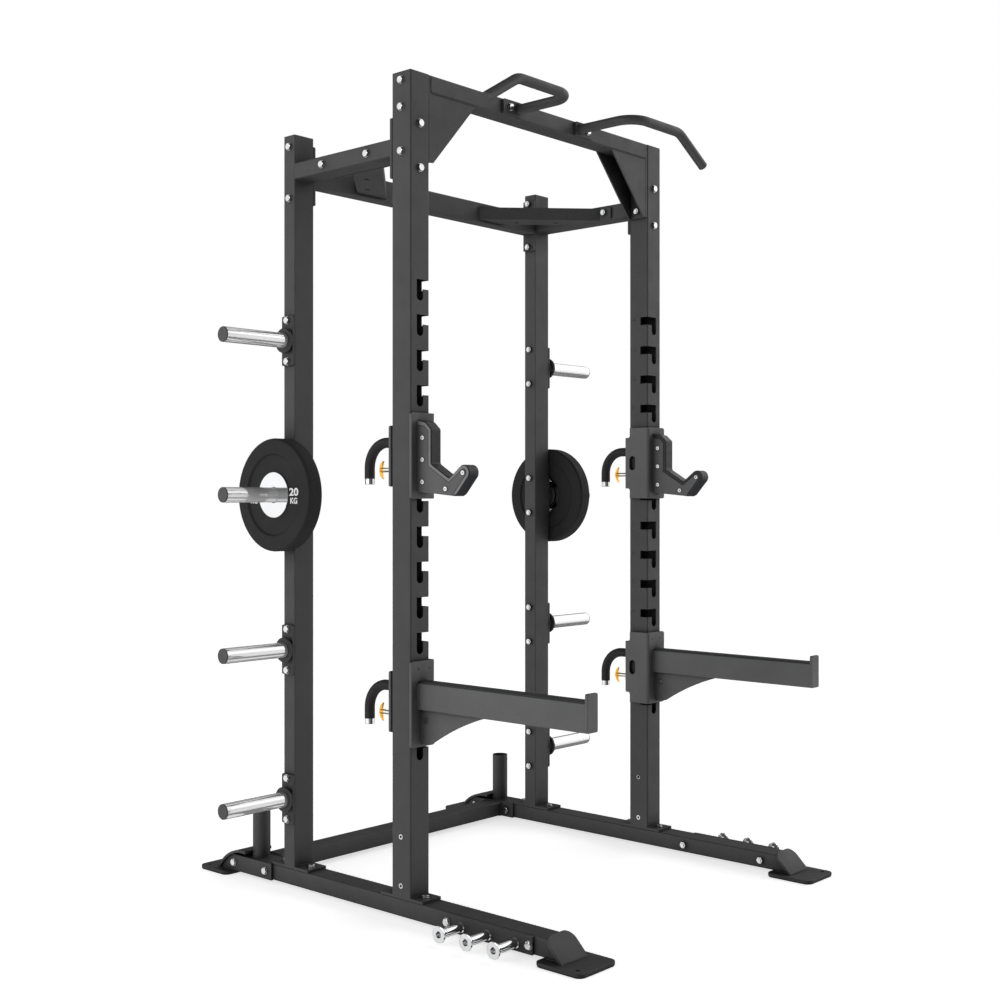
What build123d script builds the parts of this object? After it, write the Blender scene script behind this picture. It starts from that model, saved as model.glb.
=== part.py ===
from build123d import *
import os
from math import sqrt

# ---------------------------------------------------------------- power cage
# Half rack cage with front J-hooks and safety arms, rear weight storage,
# bar holders and a pull-up bar.  Millimetres, +Z up, front faces -Y.

# --- overall frame
half_w = 600.0            # outer face of every upright from the centre plane
tube = 75.0               # upright and rail tube width
wall = 3.0                # tube wall
corner_r = 5.0            # outer corner radius of the tubes
xc = half_w - tube / 2    # upright centre line
xi = half_w - tube        # inner face of the uprights
yf = -144.5               # front face of the front uprights
rear_y = 500.0            # front face of the rear uprights, from yf
rear_d = 50.0             # rear upright depth
front_top = 2385.0        # tube end of the front uprights
rear_top = 2288.0         # tube end of the rear uprights
cap_t = 3.0               # tube cap thickness

# --- base
pad_t = 4.0
foot_t = 8.0
z_rail0 = pad_t + foot_t
rail_h = 50.0
z_rail1 = z_rail0 + rail_h
z_rail = z_rail0 + rail_h / 2
foot_l = 155.0
foot_r = 22.0
front_foot_y = -560.5     # foot plate centres, from yf
rear_foot_y = 857.0
rear_foot_l = 140.0
anchor_r = 6.0
anchor_x = 615.5
anchor_front_y = -609.0
anchor_rear_y = 900.0
base_plate_t = 8.0
base_plate_l = 170.0
base_bolt_y = (-21.5, 96.5, 466.0, 584.0)
bevel_y = -560.0          # lower edge of the bevelled end plate
bevel_w = 105.0
arch_y, arch_z = 738.0, -58.0     # centre of the rear arched strip
arch_r = 140.0
arch_t = 8.0
holder_y = 705.0
holder_ro = 27.5
holder_ri = 25.5
holder_top = 228.0
cross_y0, cross_y1 = 660.0, 735.0
bracket_t = 8.0
bracket_y0 = 602.0
foot_bolt_y = (631.0, 786.0)

# --- resistance-band pegs
peg_y = (-198.0, -295.5, -393.0)
peg_bolt_y = (-148.7, -442.0)
peg_plate_t = 7.0
peg_len = 84.0
peg_r = 12.5
peg_head_r = 22.5
peg_z = 32.0
peg_bore_r = 8.5

# --- slots in the front uprights
slot_n = 14
slot_pitch = 99.4
slot_top = 1804.0
slot_h = 60.0
slot_entry = 27.0
slot_w = 25.6
slot_depth = 30.0
lift = slot_h - slot_entry
pin_drop = 37.6           # pop-pin axis below the slot top

# --- top of the frame
beam_h = 50.0
front_beam_d = 70.0
z_front_beam = 2338.0
end_t = 8.0
gusset_x = 329.0
gusset_z = 2140.0
front_bolt_z = (2364.0, 2288.5, 2164.5)
z_side_beam = 2155.0
side_plate_z0, side_plate_z1 = 2093.0, 2264.0
side_bolt_z = (2243.0, 2118.0)
z_rear_beam, rear_beam_h = 2145.0, 70.0
rear_plate_z0, rear_plate_z1 = 2087.0, 2267.0
rear_bolt_z = (2257.5, 2100.5)
brace_t = 6.0
brace_side_bolt_y = (180.0, 374.0)
brace_rear_bolt_x = (262.0, 318.0)
brace_z1 = 2197.0

# --- pull-up handles
grip_r = 15.0
grip_wall = 2.5
grip_z = 2364.0
grip_x = 150.0
grip_y = -219.0
grip_bolt_x = (187.0,)

# --- weight storage
horn_z = (1666.0, 1198.0, 728.0, 275.0)
horn_r = 23.0
horn_root_r = 22.5         # horn inside its collar
collar_x = 625.0          # outer face of the collars
horn_tip = 846.0
horn_bolt = 62.5
mount_t = 8.0
plate_z = horn_z[1]
bore_r = 24.0

# --- fasteners (M12)
bolt_r = 6.0
hole_r = 6.5
hex_af = 19.0
head_h = 7.5
washer_r = 12.0
nut_h = 10.0

# --- carriages
sheet = 8.0
c_z0, c_z1 = 1187.0, 1428.0
ear_z0, ear_z1 = 1221.0, 1394.0
c_front = -11.5
c_rear = 88.0
web_x = 512.0
flange_x = 607.5
j_slot = 5
safety_shift = -7 * slot_pitch
pin_z = slot_top - j_slot * slot_pitch - pin_drop
handle_z = 1347.5
handle_y = 206.5
handle_bend = 72.0
hook_w = 40.0
boss_l = 16.5             # pop-pin boss behind the rear flange


def Y(v):
    return yf + v


slot_tops = [slot_top - i * slot_pitch for i in range(slot_n)]
os.makedirs("parts", exist_ok=True)

# ================================================================ base rails
with BuildPart() as base_rail_left:
    with BuildSketch(Plane.XZ.offset(-Y(852))):
        with Locations((-xc, z_rail)):
            RectangleRounded(tube, rail_h, corner_r)
            RectangleRounded(tube - 2 * wall, rail_h - 2 * wall, 2.5, mode=Mode.SUBTRACT)
    extrude(amount=852 + 552)
    # bevelled front end, closed by the slanted foot plate
    split(bisect_by=Plane(origin=(-xc, Y(bevel_y + 11.3137), z_rail0), x_dir=(1, 0, 0), z_dir=(0, -1, 1)), keep=Keep.BOTTOM)
    # rear end cut back under the arched strip
    split(bisect_by=Plane(origin=(-xc, Y(847), z_rail0), x_dir=(1, 0, 0), z_dir=(0, 50, 57)), keep=Keep.BOTTOM)
    # upright base-plate bolts, top wall
    with BuildSketch(Plane.XY.offset(z_rail1 - 6)):
        with Locations(*[(-xc, Y(y)) for y in base_bolt_y]):
            Circle(hole_r)
    extrude(amount=7, mode=Mode.SUBTRACT)
    # peg-plate and rear-foot bolts, straight through
    with BuildSketch(Plane.YZ.offset(-half_w - 1)):
        with Locations((Y(peg_bolt_y[0]), z_rail), (Y(peg_bolt_y[1]), z_rail), (Y(foot_bolt_y[0]), z_rail), (Y(foot_bolt_y[1]), z_rail)):
            Circle(hole_r)
    extrude(amount=tube + 2, mode=Mode.SUBTRACT)

with BuildPart() as base_rail_right:
    add(base_rail_left.part.mirror(Plane.YZ))

# ================================================================ front feet
with BuildPart() as front_foot_left:
    with BuildSketch(Plane.XY.offset(pad_t)):
        with Locations((-xc, Y(front_foot_y))):
            RectangleRounded(foot_l, foot_l, foot_r)
        with Locations((-anchor_x, Y(anchor_front_y))):
            Circle(anchor_r, mode=Mode.SUBTRACT)
    extrude(amount=foot_t)
    chamfer(front_foot_left.edges().filter_by(Plane.XY).group_by(Axis.Z)[-1], 1.0)
    # slanted plate closing the rail end, rounded upper corners
    with BuildSketch(Plane(origin=(-xc, Y(bevel_y), z_rail0), x_dir=(1, 0, 0), z_dir=(0, -1, 1))) as slant:
        with Locations((0, 41.4)):
            Rectangle(bevel_w, 86.8)
        fillet(slant.vertices().group_by(Axis.Y)[-1], 32)
    extrude(amount=-8)

with BuildPart() as front_foot_right:
    add(front_foot_left.part.mirror(Plane.YZ))

# ================================================================= rear feet
with BuildPart() as rear_foot_left:
    with BuildSketch(Plane.XY.offset(pad_t)):
        with Locations((-xc, Y(rear_foot_y))):
            RectangleRounded(foot_l, rear_foot_l, foot_r)
        with Locations((-anchor_x, Y(anchor_rear_y))):
            Circle(anchor_r, mode=Mode.SUBTRACT)
    extrude(amount=foot_t)
    chamfer(rear_foot_left.edges().filter_by(Plane.XY).group_by(Axis.Z)[-1], 1.0)
    # side cheeks on both sides of the rail, rear end following the arch
    with BuildSketch(Plane.YZ.offset(-half_w - bracket_t)) as cheek:
        with BuildLine():
            ri = arch_r - arch_t
            p1 = (Y(arch_y + sqrt(ri ** 2 - (z_rail0 - arch_z) ** 2)), z_rail0)
            p2 = (Y(arch_y + sqrt(ri ** 2 - (z_rail1 - arch_z) ** 2)), z_rail1)
            pm = (Y(arch_y + sqrt(ri ** 2 - (41.0 - arch_z) ** 2)), 41.0)
            l1 = Line((Y(bracket_y0), z_rail0), p1)
            l2 = ThreePointArc(p1, pm, p2)
            l3 = Line(p2, (Y(bracket_y0), z_rail1))
            l4 = Line((Y(bracket_y0), z_rail1), (Y(bracket_y0), z_rail0))
        make_face()
        with Locations((Y(foot_bolt_y[0]), z_rail), (Y(foot_bolt_y[1]), z_rail)):
            Circle(hole_r, mode=Mode.SUBTRACT)
    extrude(amount=bracket_t)
    with BuildSketch(Plane.YZ.offset(-xi)) as cheek_in:
        with BuildLine():
            l1 = Line((Y(bracket_y0), z_rail0), p1)
            l2 = ThreePointArc(p1, pm, p2)
            l3 = Line(p2, (Y(bracket_y0), z_rail1))
            l4 = Line((Y(bracket_y0), z_rail1), (Y(bracket_y0), z_rail0))
        make_face()
        with Locations((Y(foot_bolt_y[0]), z_rail), (Y(foot_bolt_y[1]), z_rail)):
            Circle(hole_r, mode=Mode.SUBTRACT)
    extrude(amount=bracket_t)
    # arched strip from the foot plate up to the bar holder
    with BuildSketch(Plane.YZ.offset(-xc - bevel_w / 2)) as arch:
        with Locations((Y(arch_y), arch_z)):
            Circle(arch_r)
            Circle(arch_r - arch_t, mode=Mode.SUBTRACT)
        with Locations((Y(arch_y + 82), 57)):
            Rectangle(196, 100, mode=Mode.INTERSECT)
    extrude(amount=bevel_w)
    # bar holder tube standing on the rail
    with BuildSketch(Plane.XY.offset(z_rail1)):
        with Locations((-xc, Y(holder_y))):
            Circle(holder_ro)
    extrude(amount=holder_top - z_rail1)
    with BuildSketch(Plane.XY.offset(z_rail1)):
        with Locations((-xc, Y(holder_y))):
            Circle(holder_ri)
    extrude(amount=holder_top - z_rail1 + 1, mode=Mode.SUBTRACT)

with BuildPart() as rear_foot_right:
    add(rear_foot_left.part.mirror(Plane.YZ))

# ================================================================= foot pads
with BuildPart() as foot_pads:
    with BuildSketch():
        with Locations((-xc, Y(front_foot_y)), (xc, Y(front_foot_y))):
            RectangleRounded(foot_l - 3, foot_l - 3, foot_r - 1.5)
        with Locations((-xc, Y(rear_foot_y)), (xc, Y(rear_foot_y))):
            RectangleRounded(foot_l - 3, rear_foot_l - 3, foot_r - 1.5)
        with Locations((-anchor_x, Y(anchor_front_y)), (anchor_x, Y(anchor_front_y)), (-anchor_x, Y(anchor_rear_y)), (anchor_x, Y(anchor_rear_y))):
            Circle(anchor_r + 1.5, mode=Mode.SUBTRACT)
    extrude(amount=pad_t)

# ========================================================== rear crossmember
with BuildPart() as rear_crossmember:
    with BuildSketch(Plane.YZ.offset(-(xi - bracket_t))):
        with Locations((Y((cross_y0 + cross_y1) / 2), z_rail)):
            RectangleRounded(cross_y1 - cross_y0, rail_h, corner_r)
            RectangleRounded(cross_y1 - cross_y0 - 2 * wall, rail_h - 2 * wall, 2.5, mode=Mode.SUBTRACT)
    extrude(amount=2 * (xi - bracket_t))

# ============================================================ front uprights
with BuildPart() as front_upright_left:
    with BuildSketch(Plane.XY.offset(z_rail1 + base_plate_t)):
        with Locations((-xc, Y(tube / 2))):
            RectangleRounded(tube, tube, corner_r)
            RectangleRounded(tube - 2 * wall, tube - 2 * wall, 2.5, mode=Mode.SUBTRACT)
    extrude(amount=front_top - z_rail1 - base_plate_t)
    # welded base plate
    with BuildSketch(Plane.XY.offset(z_rail1)):
        with Locations((-xc, Y(tube / 2))):
            RectangleRounded(tube, base_plate_l, 3)
        with Locations((-xc, Y(base_bolt_y[0])), (-xc, Y(base_bolt_y[1]))):
            Circle(hole_r, mode=Mode.SUBTRACT)
    extrude(amount=base_plate_t)
    # L-slots: entry through the inner front corner, then a vertical leg
    with BuildSketch(Plane.XZ.offset(-Y(slot_depth))):
        for zt in slot_tops:
            with Locations(((-xi + 2 - xc - slot_w / 2) / 2, zt - slot_entry / 2)):
                Rectangle(xc + slot_w / 2 - xi + 2, slot_entry)
    extrude(amount=slot_depth + 2, mode=Mode.SUBTRACT)
    with BuildSketch(Plane.XZ.offset(-Y(8))):
        for zt in slot_tops:
            with Locations((-xc, zt - (slot_h - slot_w / 2) / 2)):
                Rectangle(slot_w, slot_h - slot_w / 2)
            with Locations((-xc, zt - slot_h + slot_w / 2)):
                Circle(slot_w / 2)
    extrude(amount=10, mode=Mode.SUBTRACT)
    # pop-pin slots in the rear wall
    with BuildSketch(Plane.XZ.offset(-Y(tube + 2))):
        with Locations(*[(-xc, zt - pin_drop + lift / 2) for zt in slot_tops]):
            SlotOverall(lift + 14.0, 14.0, rotation=90)
    extrude(amount=10, mode=Mode.SUBTRACT)
    # cross bolts of the front beam, threaded-insert holes
    with BuildSketch(Plane.YZ.offset(-half_w - 1)):
        with Locations(*[(Y(tube / 2), z) for z in front_bolt_z]):
            Circle(hole_r)
        with Locations((Y(tube / 2), 99), (Y(tube / 2), 237)):
            Circle(5.0)
    extrude(amount=tube + 2, mode=Mode.SUBTRACT)
    # bolts of the side beam
    with BuildSketch(Plane.XZ.offset(-Y(tube + 1))):
        with Locations(*[(-xc, z) for z in side_bolt_z]):
            Circle(hole_r)
    extrude(amount=tube + 2, mode=Mode.SUBTRACT)

with BuildPart() as front_upright_right:
    add(front_upright_left.part.mirror(Plane.YZ))

# ============================================================= rear uprights
with BuildPart() as rear_upright_left:
    with BuildSketch(Plane.XY.offset(z_rail1 + base_plate_t)):
        with Locations((-xc, Y(rear_y + rear_d / 2))):
            RectangleRounded(tube, rear_d, 2.5)
            RectangleRounded(tube - 2 * wall, rear_d - 2 * wall, 1.0, mode=Mode.SUBTRACT)
    extrude(amount=rear_top - z_rail1 - base_plate_t)
    with BuildSketch(Plane.XY.offset(z_rail1)):
        with Locations((-xc, Y(rear_y + rear_d / 2))):
            RectangleRounded(tube, base_plate_l, 3)
        with Locations((-xc, Y(base_bolt_y[2])), (-xc, Y(base_bolt_y[3]))):
            Circle(hole_r, mode=Mode.SUBTRACT)
    extrude(amount=base_plate_t)
    # rear-beam and weight-horn cross bolts
    with BuildSketch(Plane.YZ.offset(-half_w - 1)):
        with Locations(*[(Y(rear_y + rear_d / 2), z) for z in rear_bolt_z]):
            Circle(hole_r)
        with Locations(*[(Y(rear_y + rear_d / 2), z + s * horn_bolt) for z in horn_z for s in (-1, 1)]):
            Circle(hole_r)
    extrude(amount=tube + 2, mode=Mode.SUBTRACT)

with BuildPart() as rear_upright_right:
    add(rear_upright_left.part.mirror(Plane.YZ))

# ============================================================ front top beam
with BuildPart() as front_top_beam:
    with BuildSketch(Plane.YZ.offset(-(xi - end_t))):
        with Locations((Y(front_beam_d / 2), z_front_beam + beam_h / 2)):
            RectangleRounded(front_beam_d, beam_h, corner_r)
            RectangleRounded(front_beam_d - 2 * wall, beam_h - 2 * wall, 2.5, mode=Mode.SUBTRACT)
    extrude(amount=2 * (xi - end_t))
    # end plates against the uprights
    with BuildSketch(Plane.YZ.offset(-xi)):
        with Locations((Y(tube / 2), (gusset_z + z_front_beam + beam_h) / 2)):
            RectangleRounded(tube - 3, z_front_beam + beam_h - gusset_z, 3)
    extrude(amount=end_t)
    with BuildSketch(Plane.YZ.offset(xi - end_t)):
        with Locations((Y(tube / 2), (gusset_z + z_front_beam + beam_h) / 2)):
            RectangleRounded(tube - 3, z_front_beam + beam_h - gusset_z, 3)
    extrude(amount=end_t)
    # triangular gussets of two plates each, open along the slanted edge
    with BuildSketch(Plane.XZ.offset(-Y(front_beam_d - 2.0))):
        for s in (-1, 1):
            with BuildLine():
                Polyline((s * (xi - end_t + 2), z_front_beam + 2), (s * (gusset_x - 1.8), z_front_beam + 2), (s * 506, gusset_z + 1), (s * (xi - end_t + 2), gusset_z + 1), close=True)
            make_face()
    extrude(amount=front_beam_d - 4.0)
    with BuildSketch(Plane.XZ.offset(-Y(front_beam_d - 7.0))):
        for s in (-1, 1):
            with BuildLine():
                Polyline((s * (xi - end_t), z_front_beam - 1), (s * (gusset_x - 40), z_front_beam - 1), (s * 470, gusset_z - 40), (s * (xi - end_t), gusset_z - 40), close=True)
            make_face()
    extrude(amount=front_beam_d - 14.0, mode=Mode.SUBTRACT)
    # bolt holes in the end plates
    with BuildSketch(Plane.YZ.offset(-xi - 1)):
        with Locations(*[(Y(tube / 2), z) for z in front_bolt_z]):
            Circle(hole_r)
    extrude(amount=end_t + 2, mode=Mode.SUBTRACT)
    with BuildSketch(Plane.YZ.offset(xi - end_t - 1)):
        with Locations(*[(Y(tube / 2), z) for z in front_bolt_z]):
            Circle(hole_r)
    extrude(amount=end_t + 2, mode=Mode.SUBTRACT)
    # pull-up handle bolts, front wall
    with BuildSketch(Plane.XZ.offset(-Y(wall + 1))):
        with Locations(*[(s * x, grip_z) for s in (-1, 1) for x in grip_bolt_x]):
            Circle(hole_r)
    extrude(amount=wall + 2, mode=Mode.SUBTRACT)

# ============================================================= rear top beam
with BuildPart() as rear_top_beam:
    with BuildSketch(Plane.YZ.offset(-(xi - end_t))):
        with Locations((Y(rear_y + rear_d / 2), z_rear_beam + rear_beam_h / 2)):
            RectangleRounded(rear_d, rear_beam_h, corner_r)
            RectangleRounded(rear_d - 2 * wall, rear_beam_h - 2 * wall, 2.5, mode=Mode.SUBTRACT)
    extrude(amount=2 * (xi - end_t))
    with BuildSketch(Plane.YZ.offset(-xi)):
        with Locations((Y(rear_y + rear_d / 2), (rear_plate_z0 + rear_plate_z1) / 2)):
            RectangleRounded(rear_d, rear_plate_z1 - rear_plate_z0, 4)
        with Locations(*[(Y(rear_y + rear_d / 2), z) for z in rear_bolt_z]):
            Circle(hole_r, mode=Mode.SUBTRACT)
    extrude(amount=end_t)
    with BuildSketch(Plane.YZ.offset(xi - end_t)):
        with Locations((Y(rear_y + rear_d / 2), (rear_plate_z0 + rear_plate_z1) / 2)):
            RectangleRounded(rear_d, rear_plate_z1 - rear_plate_z0, 4)
        with Locations(*[(Y(rear_y + rear_d / 2), z) for z in rear_bolt_z]):
            Circle(hole_r, mode=Mode.SUBTRACT)
    extrude(amount=end_t)
    # corner-brace bolts
    with BuildSketch(Plane.XZ.offset(-Y(rear_y + rear_d + 1))):
        with Locations(*[(s * x, 2180.0) for s in (-1, 1) for x in brace_rear_bolt_x]):
            Circle(hole_r)
    extrude(amount=rear_d + 2, mode=Mode.SUBTRACT)

# ============================================================ side top beams
with BuildPart() as side_top_beam_left:
    with BuildSketch(Plane.XZ.offset(-Y(rear_y))):
        with Locations((-xc, z_side_beam + beam_h / 2)):
            RectangleRounded(tube, beam_h, corner_r)
            RectangleRounded(tube - 2 * wall, beam_h - 2 * wall, 2.5, mode=Mode.SUBTRACT)
    extrude(amount=rear_y - tube - end_t)
    with BuildSketch(Plane.XZ.offset(-Y(tube + end_t))):
        with Locations((-xc, (side_plate_z0 + side_plate_z1) / 2)):
            RectangleRounded(tube, side_plate_z1 - side_plate_z0, 4)
        with Locations(*[(-xc, z) for z in side_bolt_z]):
            Circle(hole_r, mode=Mode.SUBTRACT)
    extrude(amount=end_t)
    with BuildSketch(Plane.YZ.offset(-half_w - 1)):
        with Locations(*[(Y(y), z_side_beam + beam_h / 2) for y in brace_side_bolt_y]):
            Circle(hole_r)
    extrude(amount=tube + 2, mode=Mode.SUBTRACT)

with BuildPart() as side_top_beam_right:
    add(side_top_beam_left.part.mirror(Plane.YZ))

# ============================================================= corner braces
with BuildPart() as corner_brace_left:
    # flat web between the two beams
    with BuildSketch(Plane.XY.offset(z_side_beam)):
        with BuildLine():
            Polyline((-221, Y(rear_y)), (-xi, Y(196)), (-xi, Y(320)), (-345, Y(rear_y)), close=True)
        make_face()
        with Locations((-355, Y(441)), (-450.5, Y(340.6))):
            Circle(8, mode=Mode.SUBTRACT)
    extrude(amount=brace_t)
    # upstanding diagonal lip
    with BuildSketch(Plane.XY.offset(z_side_beam)):
        with BuildLine():
            Polyline((-218, Y(rear_y)), (-xi, Y(193)), (-xi, Y(201)), (-226, Y(rear_y)), close=True)
        make_face()
    extrude(amount=brace_z1 - z_side_beam)
    # bolting flanges on the side beam and on the rear beam
    with BuildSketch(Plane.YZ.offset(-xi)):
        with Locations((Y(277), (z_side_beam + brace_z1) / 2)):
            RectangleRounded(250, brace_z1 - z_side_beam, 4)
        with Locations(*[(Y(y), 2180.0) for y in brace_side_bolt_y]):
            Circle(hole_r, mode=Mode.SUBTRACT)
    extrude(amount=brace_t)
    with BuildSketch(Plane.XZ.offset(-Y(rear_y))):
        with Locations((-283, (z_side_beam + brace_z1) / 2)):
            RectangleRounded(124, brace_z1 - z_side_beam, 4)
        with Locations(*[(-x, 2180.0) for x in brace_rear_bolt_x]):
            Circle(hole_r, mode=Mode.SUBTRACT)
    extrude(amount=brace_t)

with BuildPart() as corner_brace_right:
    add(corner_brace_left.part.mirror(Plane.YZ))

# =========================================================== pull-up handles
with BuildPart() as pullup_handle_left:
    with BuildLine() as grip_path:
        FilletPolyline((-grip_x, Y(0), grip_z), (-grip_x, Y(grip_y), grip_z), (-394, Y(grip_y), grip_z), (-528, Y(grip_y), grip_z - 82), radius=65)
    with BuildSketch(Plane(origin=grip_path.line @ 0, z_dir=grip_path.line % 0)):
        Circle(grip_r)
        Circle(grip_r - grip_wall, mode=Mode.SUBTRACT)
    sweep()
    with BuildSketch(Plane.XZ.offset(-Y(0))):
        with Locations((-grip_x - 22.5, grip_z)):
            RectangleRounded(89, 44, 5)
        with Locations((-grip_x, grip_z)):
            Circle(grip_r - grip_wall, mode=Mode.SUBTRACT)
        with Locations(*[(-x, grip_z) for x in grip_bolt_x]):
            Circle(hole_r, mode=Mode.SUBTRACT)
    extrude(amount=8)

with BuildPart() as pullup_handle_right:
    add(pullup_handle_left.part.mirror(Plane.YZ))

# ================================================== caps closing the tube ends
with BuildPart() as cap_left:
    with BuildSketch(Plane.XY.offset(front_top)):
        with Locations((-xc, Y(tube / 2))):
            RectangleRounded(tube, tube, corner_r)
    extrude(amount=cap_t)
    with BuildSketch(Plane.XY.offset(rear_top)):
        with Locations((-xc, Y(rear_y + rear_d / 2))):
            RectangleRounded(tube, rear_d, 2.5)
    extrude(amount=cap_t)
    fillet(cap_left.edges().filter_by(Plane.XY).group_by(Axis.Z)[-1], 1.5)
    with BuildSketch(Plane.XY.offset(front_top)):
        with Locations((-xc, Y(tube / 2))):
            RectangleRounded(tube - 2 * wall - 0.6, tube - 2 * wall - 0.6, 2.2)
    extrude(amount=-9)
    with BuildSketch(Plane.XY.offset(rear_top)):
        with Locations((-xc, Y(rear_y + rear_d / 2))):
            RectangleRounded(tube - 2 * wall - 0.6, rear_d - 2 * wall - 0.6, 0.8)
    extrude(amount=-9)
    # rounded plug in the open end of the pull-up handle
    with BuildSketch(Plane(origin=grip_path.line @ 1, z_dir=grip_path.line % 1)):
        Circle(grip_r)
    extrude(amount=4)
    with BuildSketch(Plane(origin=grip_path.line @ 1, z_dir=grip_path.line % 1)):
        Circle(grip_r - grip_wall - 0.1)
    extrude(amount=-12)

with BuildPart() as tube_caps:
    add(cap_left.part)
    add(cap_left.part.mirror(Plane.YZ))

# ============================================================ weight storage
with BuildPart() as mounts_left:
    for hz in horn_z:
        with BuildSketch(Plane.YZ.offset(-half_w)):
            with Locations((Y(rear_y + rear_d / 2), hz)):
                RectangleRounded(rear_d, 150, 5)
            with Locations((Y(rear_y + rear_d / 2), hz - horn_bolt), (Y(rear_y + rear_d / 2), hz + horn_bolt)):
                Circle(hole_r, mode=Mode.SUBTRACT)
        extrude(amount=-mount_t)
        with BuildSketch(Plane.YZ.offset(-half_w - mount_t)):
            with Locations((Y(rear_y + rear_d / 2), hz)):
                Circle(26.5)
                Circle(horn_root_r, mode=Mode.SUBTRACT)
        extrude(amount=-9)
        with BuildSketch(Plane.YZ.offset(-half_w - mount_t - 9)):
            with Locations((Y(rear_y + rear_d / 2), hz)):
                Circle(37.5)
                Circle(horn_root_r, mode=Mode.SUBTRACT)
        extrude(amount=-8)
    chamfer(mounts_left.edges().filter_by(GeomType.CIRCLE).filter_by(lambda e: abs(e.radius - 37.5) < 0.01), 1.5)

with BuildPart() as horn_mounts:
    add(mounts_left.part)
    add(mounts_left.part.mirror(Plane.YZ))

with BuildPart() as weight_horns:
    for s in (-1, 1):
        with BuildSketch(Plane.YZ.offset(s * (half_w + mount_t))):
            with Locations(*[(Y(rear_y + rear_d / 2), z) for z in horn_z]):
                Circle(horn_root_r)
                Circle(horn_r - 3, mode=Mode.SUBTRACT)
        extrude(amount=s * (collar_x - half_w - mount_t))
        with BuildSketch(Plane.YZ.offset(s * collar_x)):
            with Locations(*[(Y(rear_y + rear_d / 2), z) for z in horn_z]):
                Circle(horn_r)
                Circle(horn_r - 3, mode=Mode.SUBTRACT)
        extrude(amount=s * (horn_tip - collar_x))

with BuildPart() as horn_caps_left:
    with BuildSketch(Plane.YZ.offset(-horn_tip)):
        with Locations(*[(Y(rear_y + rear_d / 2), z) for z in horn_z]):
            Circle(horn_r - 0.3)
    extrude(amount=-4)
    fillet(horn_caps_left.edges().filter_by(GeomType.CIRCLE).group_by(Axis.X)[0], 1.5)
    with BuildSketch(Plane.YZ.offset(-horn_tip)):
        with Locations(*[(Y(rear_y + rear_d / 2), z) for z in horn_z]):
            Circle(horn_r - 3.1)
    extrude(amount=14)

with BuildPart() as horn_caps:
    add(horn_caps_left.part)
    add(horn_caps_left.part.mirror(Plane.YZ))

# ------------------------------------------------- stored plates on the horns
with BuildPart() as weight_plate_left:
    with BuildSketch(Plane.XZ.offset(-Y(rear_y + rear_d / 2))) as rubber:
        with BuildLine():
            Polyline((-617, plate_z + 64), (-617, plate_z + 120), (-612, plate_z + 125), (-612, plate_z + 164.5), (-618, plate_z + 170.5), (-658, plate_z + 170.5), (-664, plate_z + 164.5),
                     (-664, plate_z + 125), (-659, plate_z + 120), (-658, plate_z + 69), (-654, plate_z + 69), (-654, plate_z + 64), close=True)
        make_face()
    revolve(axis=Axis((0, Y(rear_y + rear_d / 2), plate_z), (1, 0, 0)))
    fillet(weight_plate_left.edges().filter_by(GeomType.CIRCLE).filter_by(lambda e: abs(e.radius - 164.5) < 0.01 or abs(e.radius - 170.5) < 0.01), 2.5)

with BuildPart() as weight_plate_right:
    add(weight_plate_left.part.mirror(Plane.YZ))

with BuildPart() as plate_hub_left:
    with BuildSketch(Plane.XZ.offset(-Y(rear_y + rear_d / 2))):
        with BuildLine():
            Polyline((-617, plate_z + 61), (-616, plate_z + 64), (-654, plate_z + 64), (-654, plate_z + 69), (-661, plate_z + 69),
                     (-662, plate_z + 68), (-662, plate_z + bore_r + 1), (-661, plate_z + bore_r), (-627, plate_z + bore_r), (-627, plate_z + 61), close=True)
        make_face()
    revolve(axis=Axis((0, Y(rear_y + rear_d / 2), plate_z), (1, 0, 0)))

with BuildPart() as plate_hub_right:
    add(plate_hub_left.part.mirror(Plane.YZ))

# ================================================================ band pegs
with BuildPart() as peg_plates:
    for s in (-1, 1):
        with BuildSketch(Plane.YZ.offset(s * half_w)):
            with Locations((Y(peg_y[1]), z_rail)):
                RectangleRounded(317, 49, 2)
            with Locations(*[(Y(y), z_rail) for y in peg_bolt_y]):
                Circle(hole_r, mode=Mode.SUBTRACT)
        extrude(amount=s * peg_plate_t)

with BuildPart() as peg_left:
    for y in peg_y:
        with BuildSketch(Plane.XY.offset(peg_z)):
            with BuildLine():
                x0 = -half_w - peg_plate_t
                b1 = Line((x0, Y(y)), (x0, Y(y) + peg_r + 2))
                b2 = Line((x0, Y(y) + peg_r + 2), (x0 - 3, Y(y) + peg_r))
                b3 = Line((x0 - 3, Y(y) + peg_r), (x0 - peg_len + 24, Y(y) + peg_r))
                b4 = ThreePointArc((x0 - peg_len + 24, Y(y) + peg_r), (x0 - peg_len + 9.5, Y(y) + peg_r + 2.9), (x0 - peg_len + 4, Y(y) + peg_head_r))
                b5 = Line((x0 - peg_len + 4, Y(y) + peg_head_r), (x0 - peg_len + 1, Y(y) + peg_head_r))
                b6 = Line((x0 - peg_len + 1, Y(y) + peg_head_r), (x0 - peg_len, Y(y) + peg_head_r - 1.5))
                b7 = Line((x0 - peg_len, Y(y) + peg_head_r - 1.5), (x0 - peg_len, Y(y) + peg_bore_r + 1))
                b8 = Line((x0 - peg_len, Y(y) + peg_bore_r + 1), (x0 - peg_len + 1, Y(y) + peg_bore_r))
                b9 = Line((x0 - peg_len + 1, Y(y) + peg_bore_r), (x0 - peg_len + 30, Y(y) + peg_bore_r))
                b10 = Line((x0 - peg_len + 30, Y(y) + peg_bore_r), (x0 - peg_len + 30, Y(y)))
                b11 = Line((x0 - peg_len + 30, Y(y)), (x0, Y(y)))
            make_face()
        revolve(axis=Axis((0, Y(y), peg_z), (1, 0, 0)))

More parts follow.
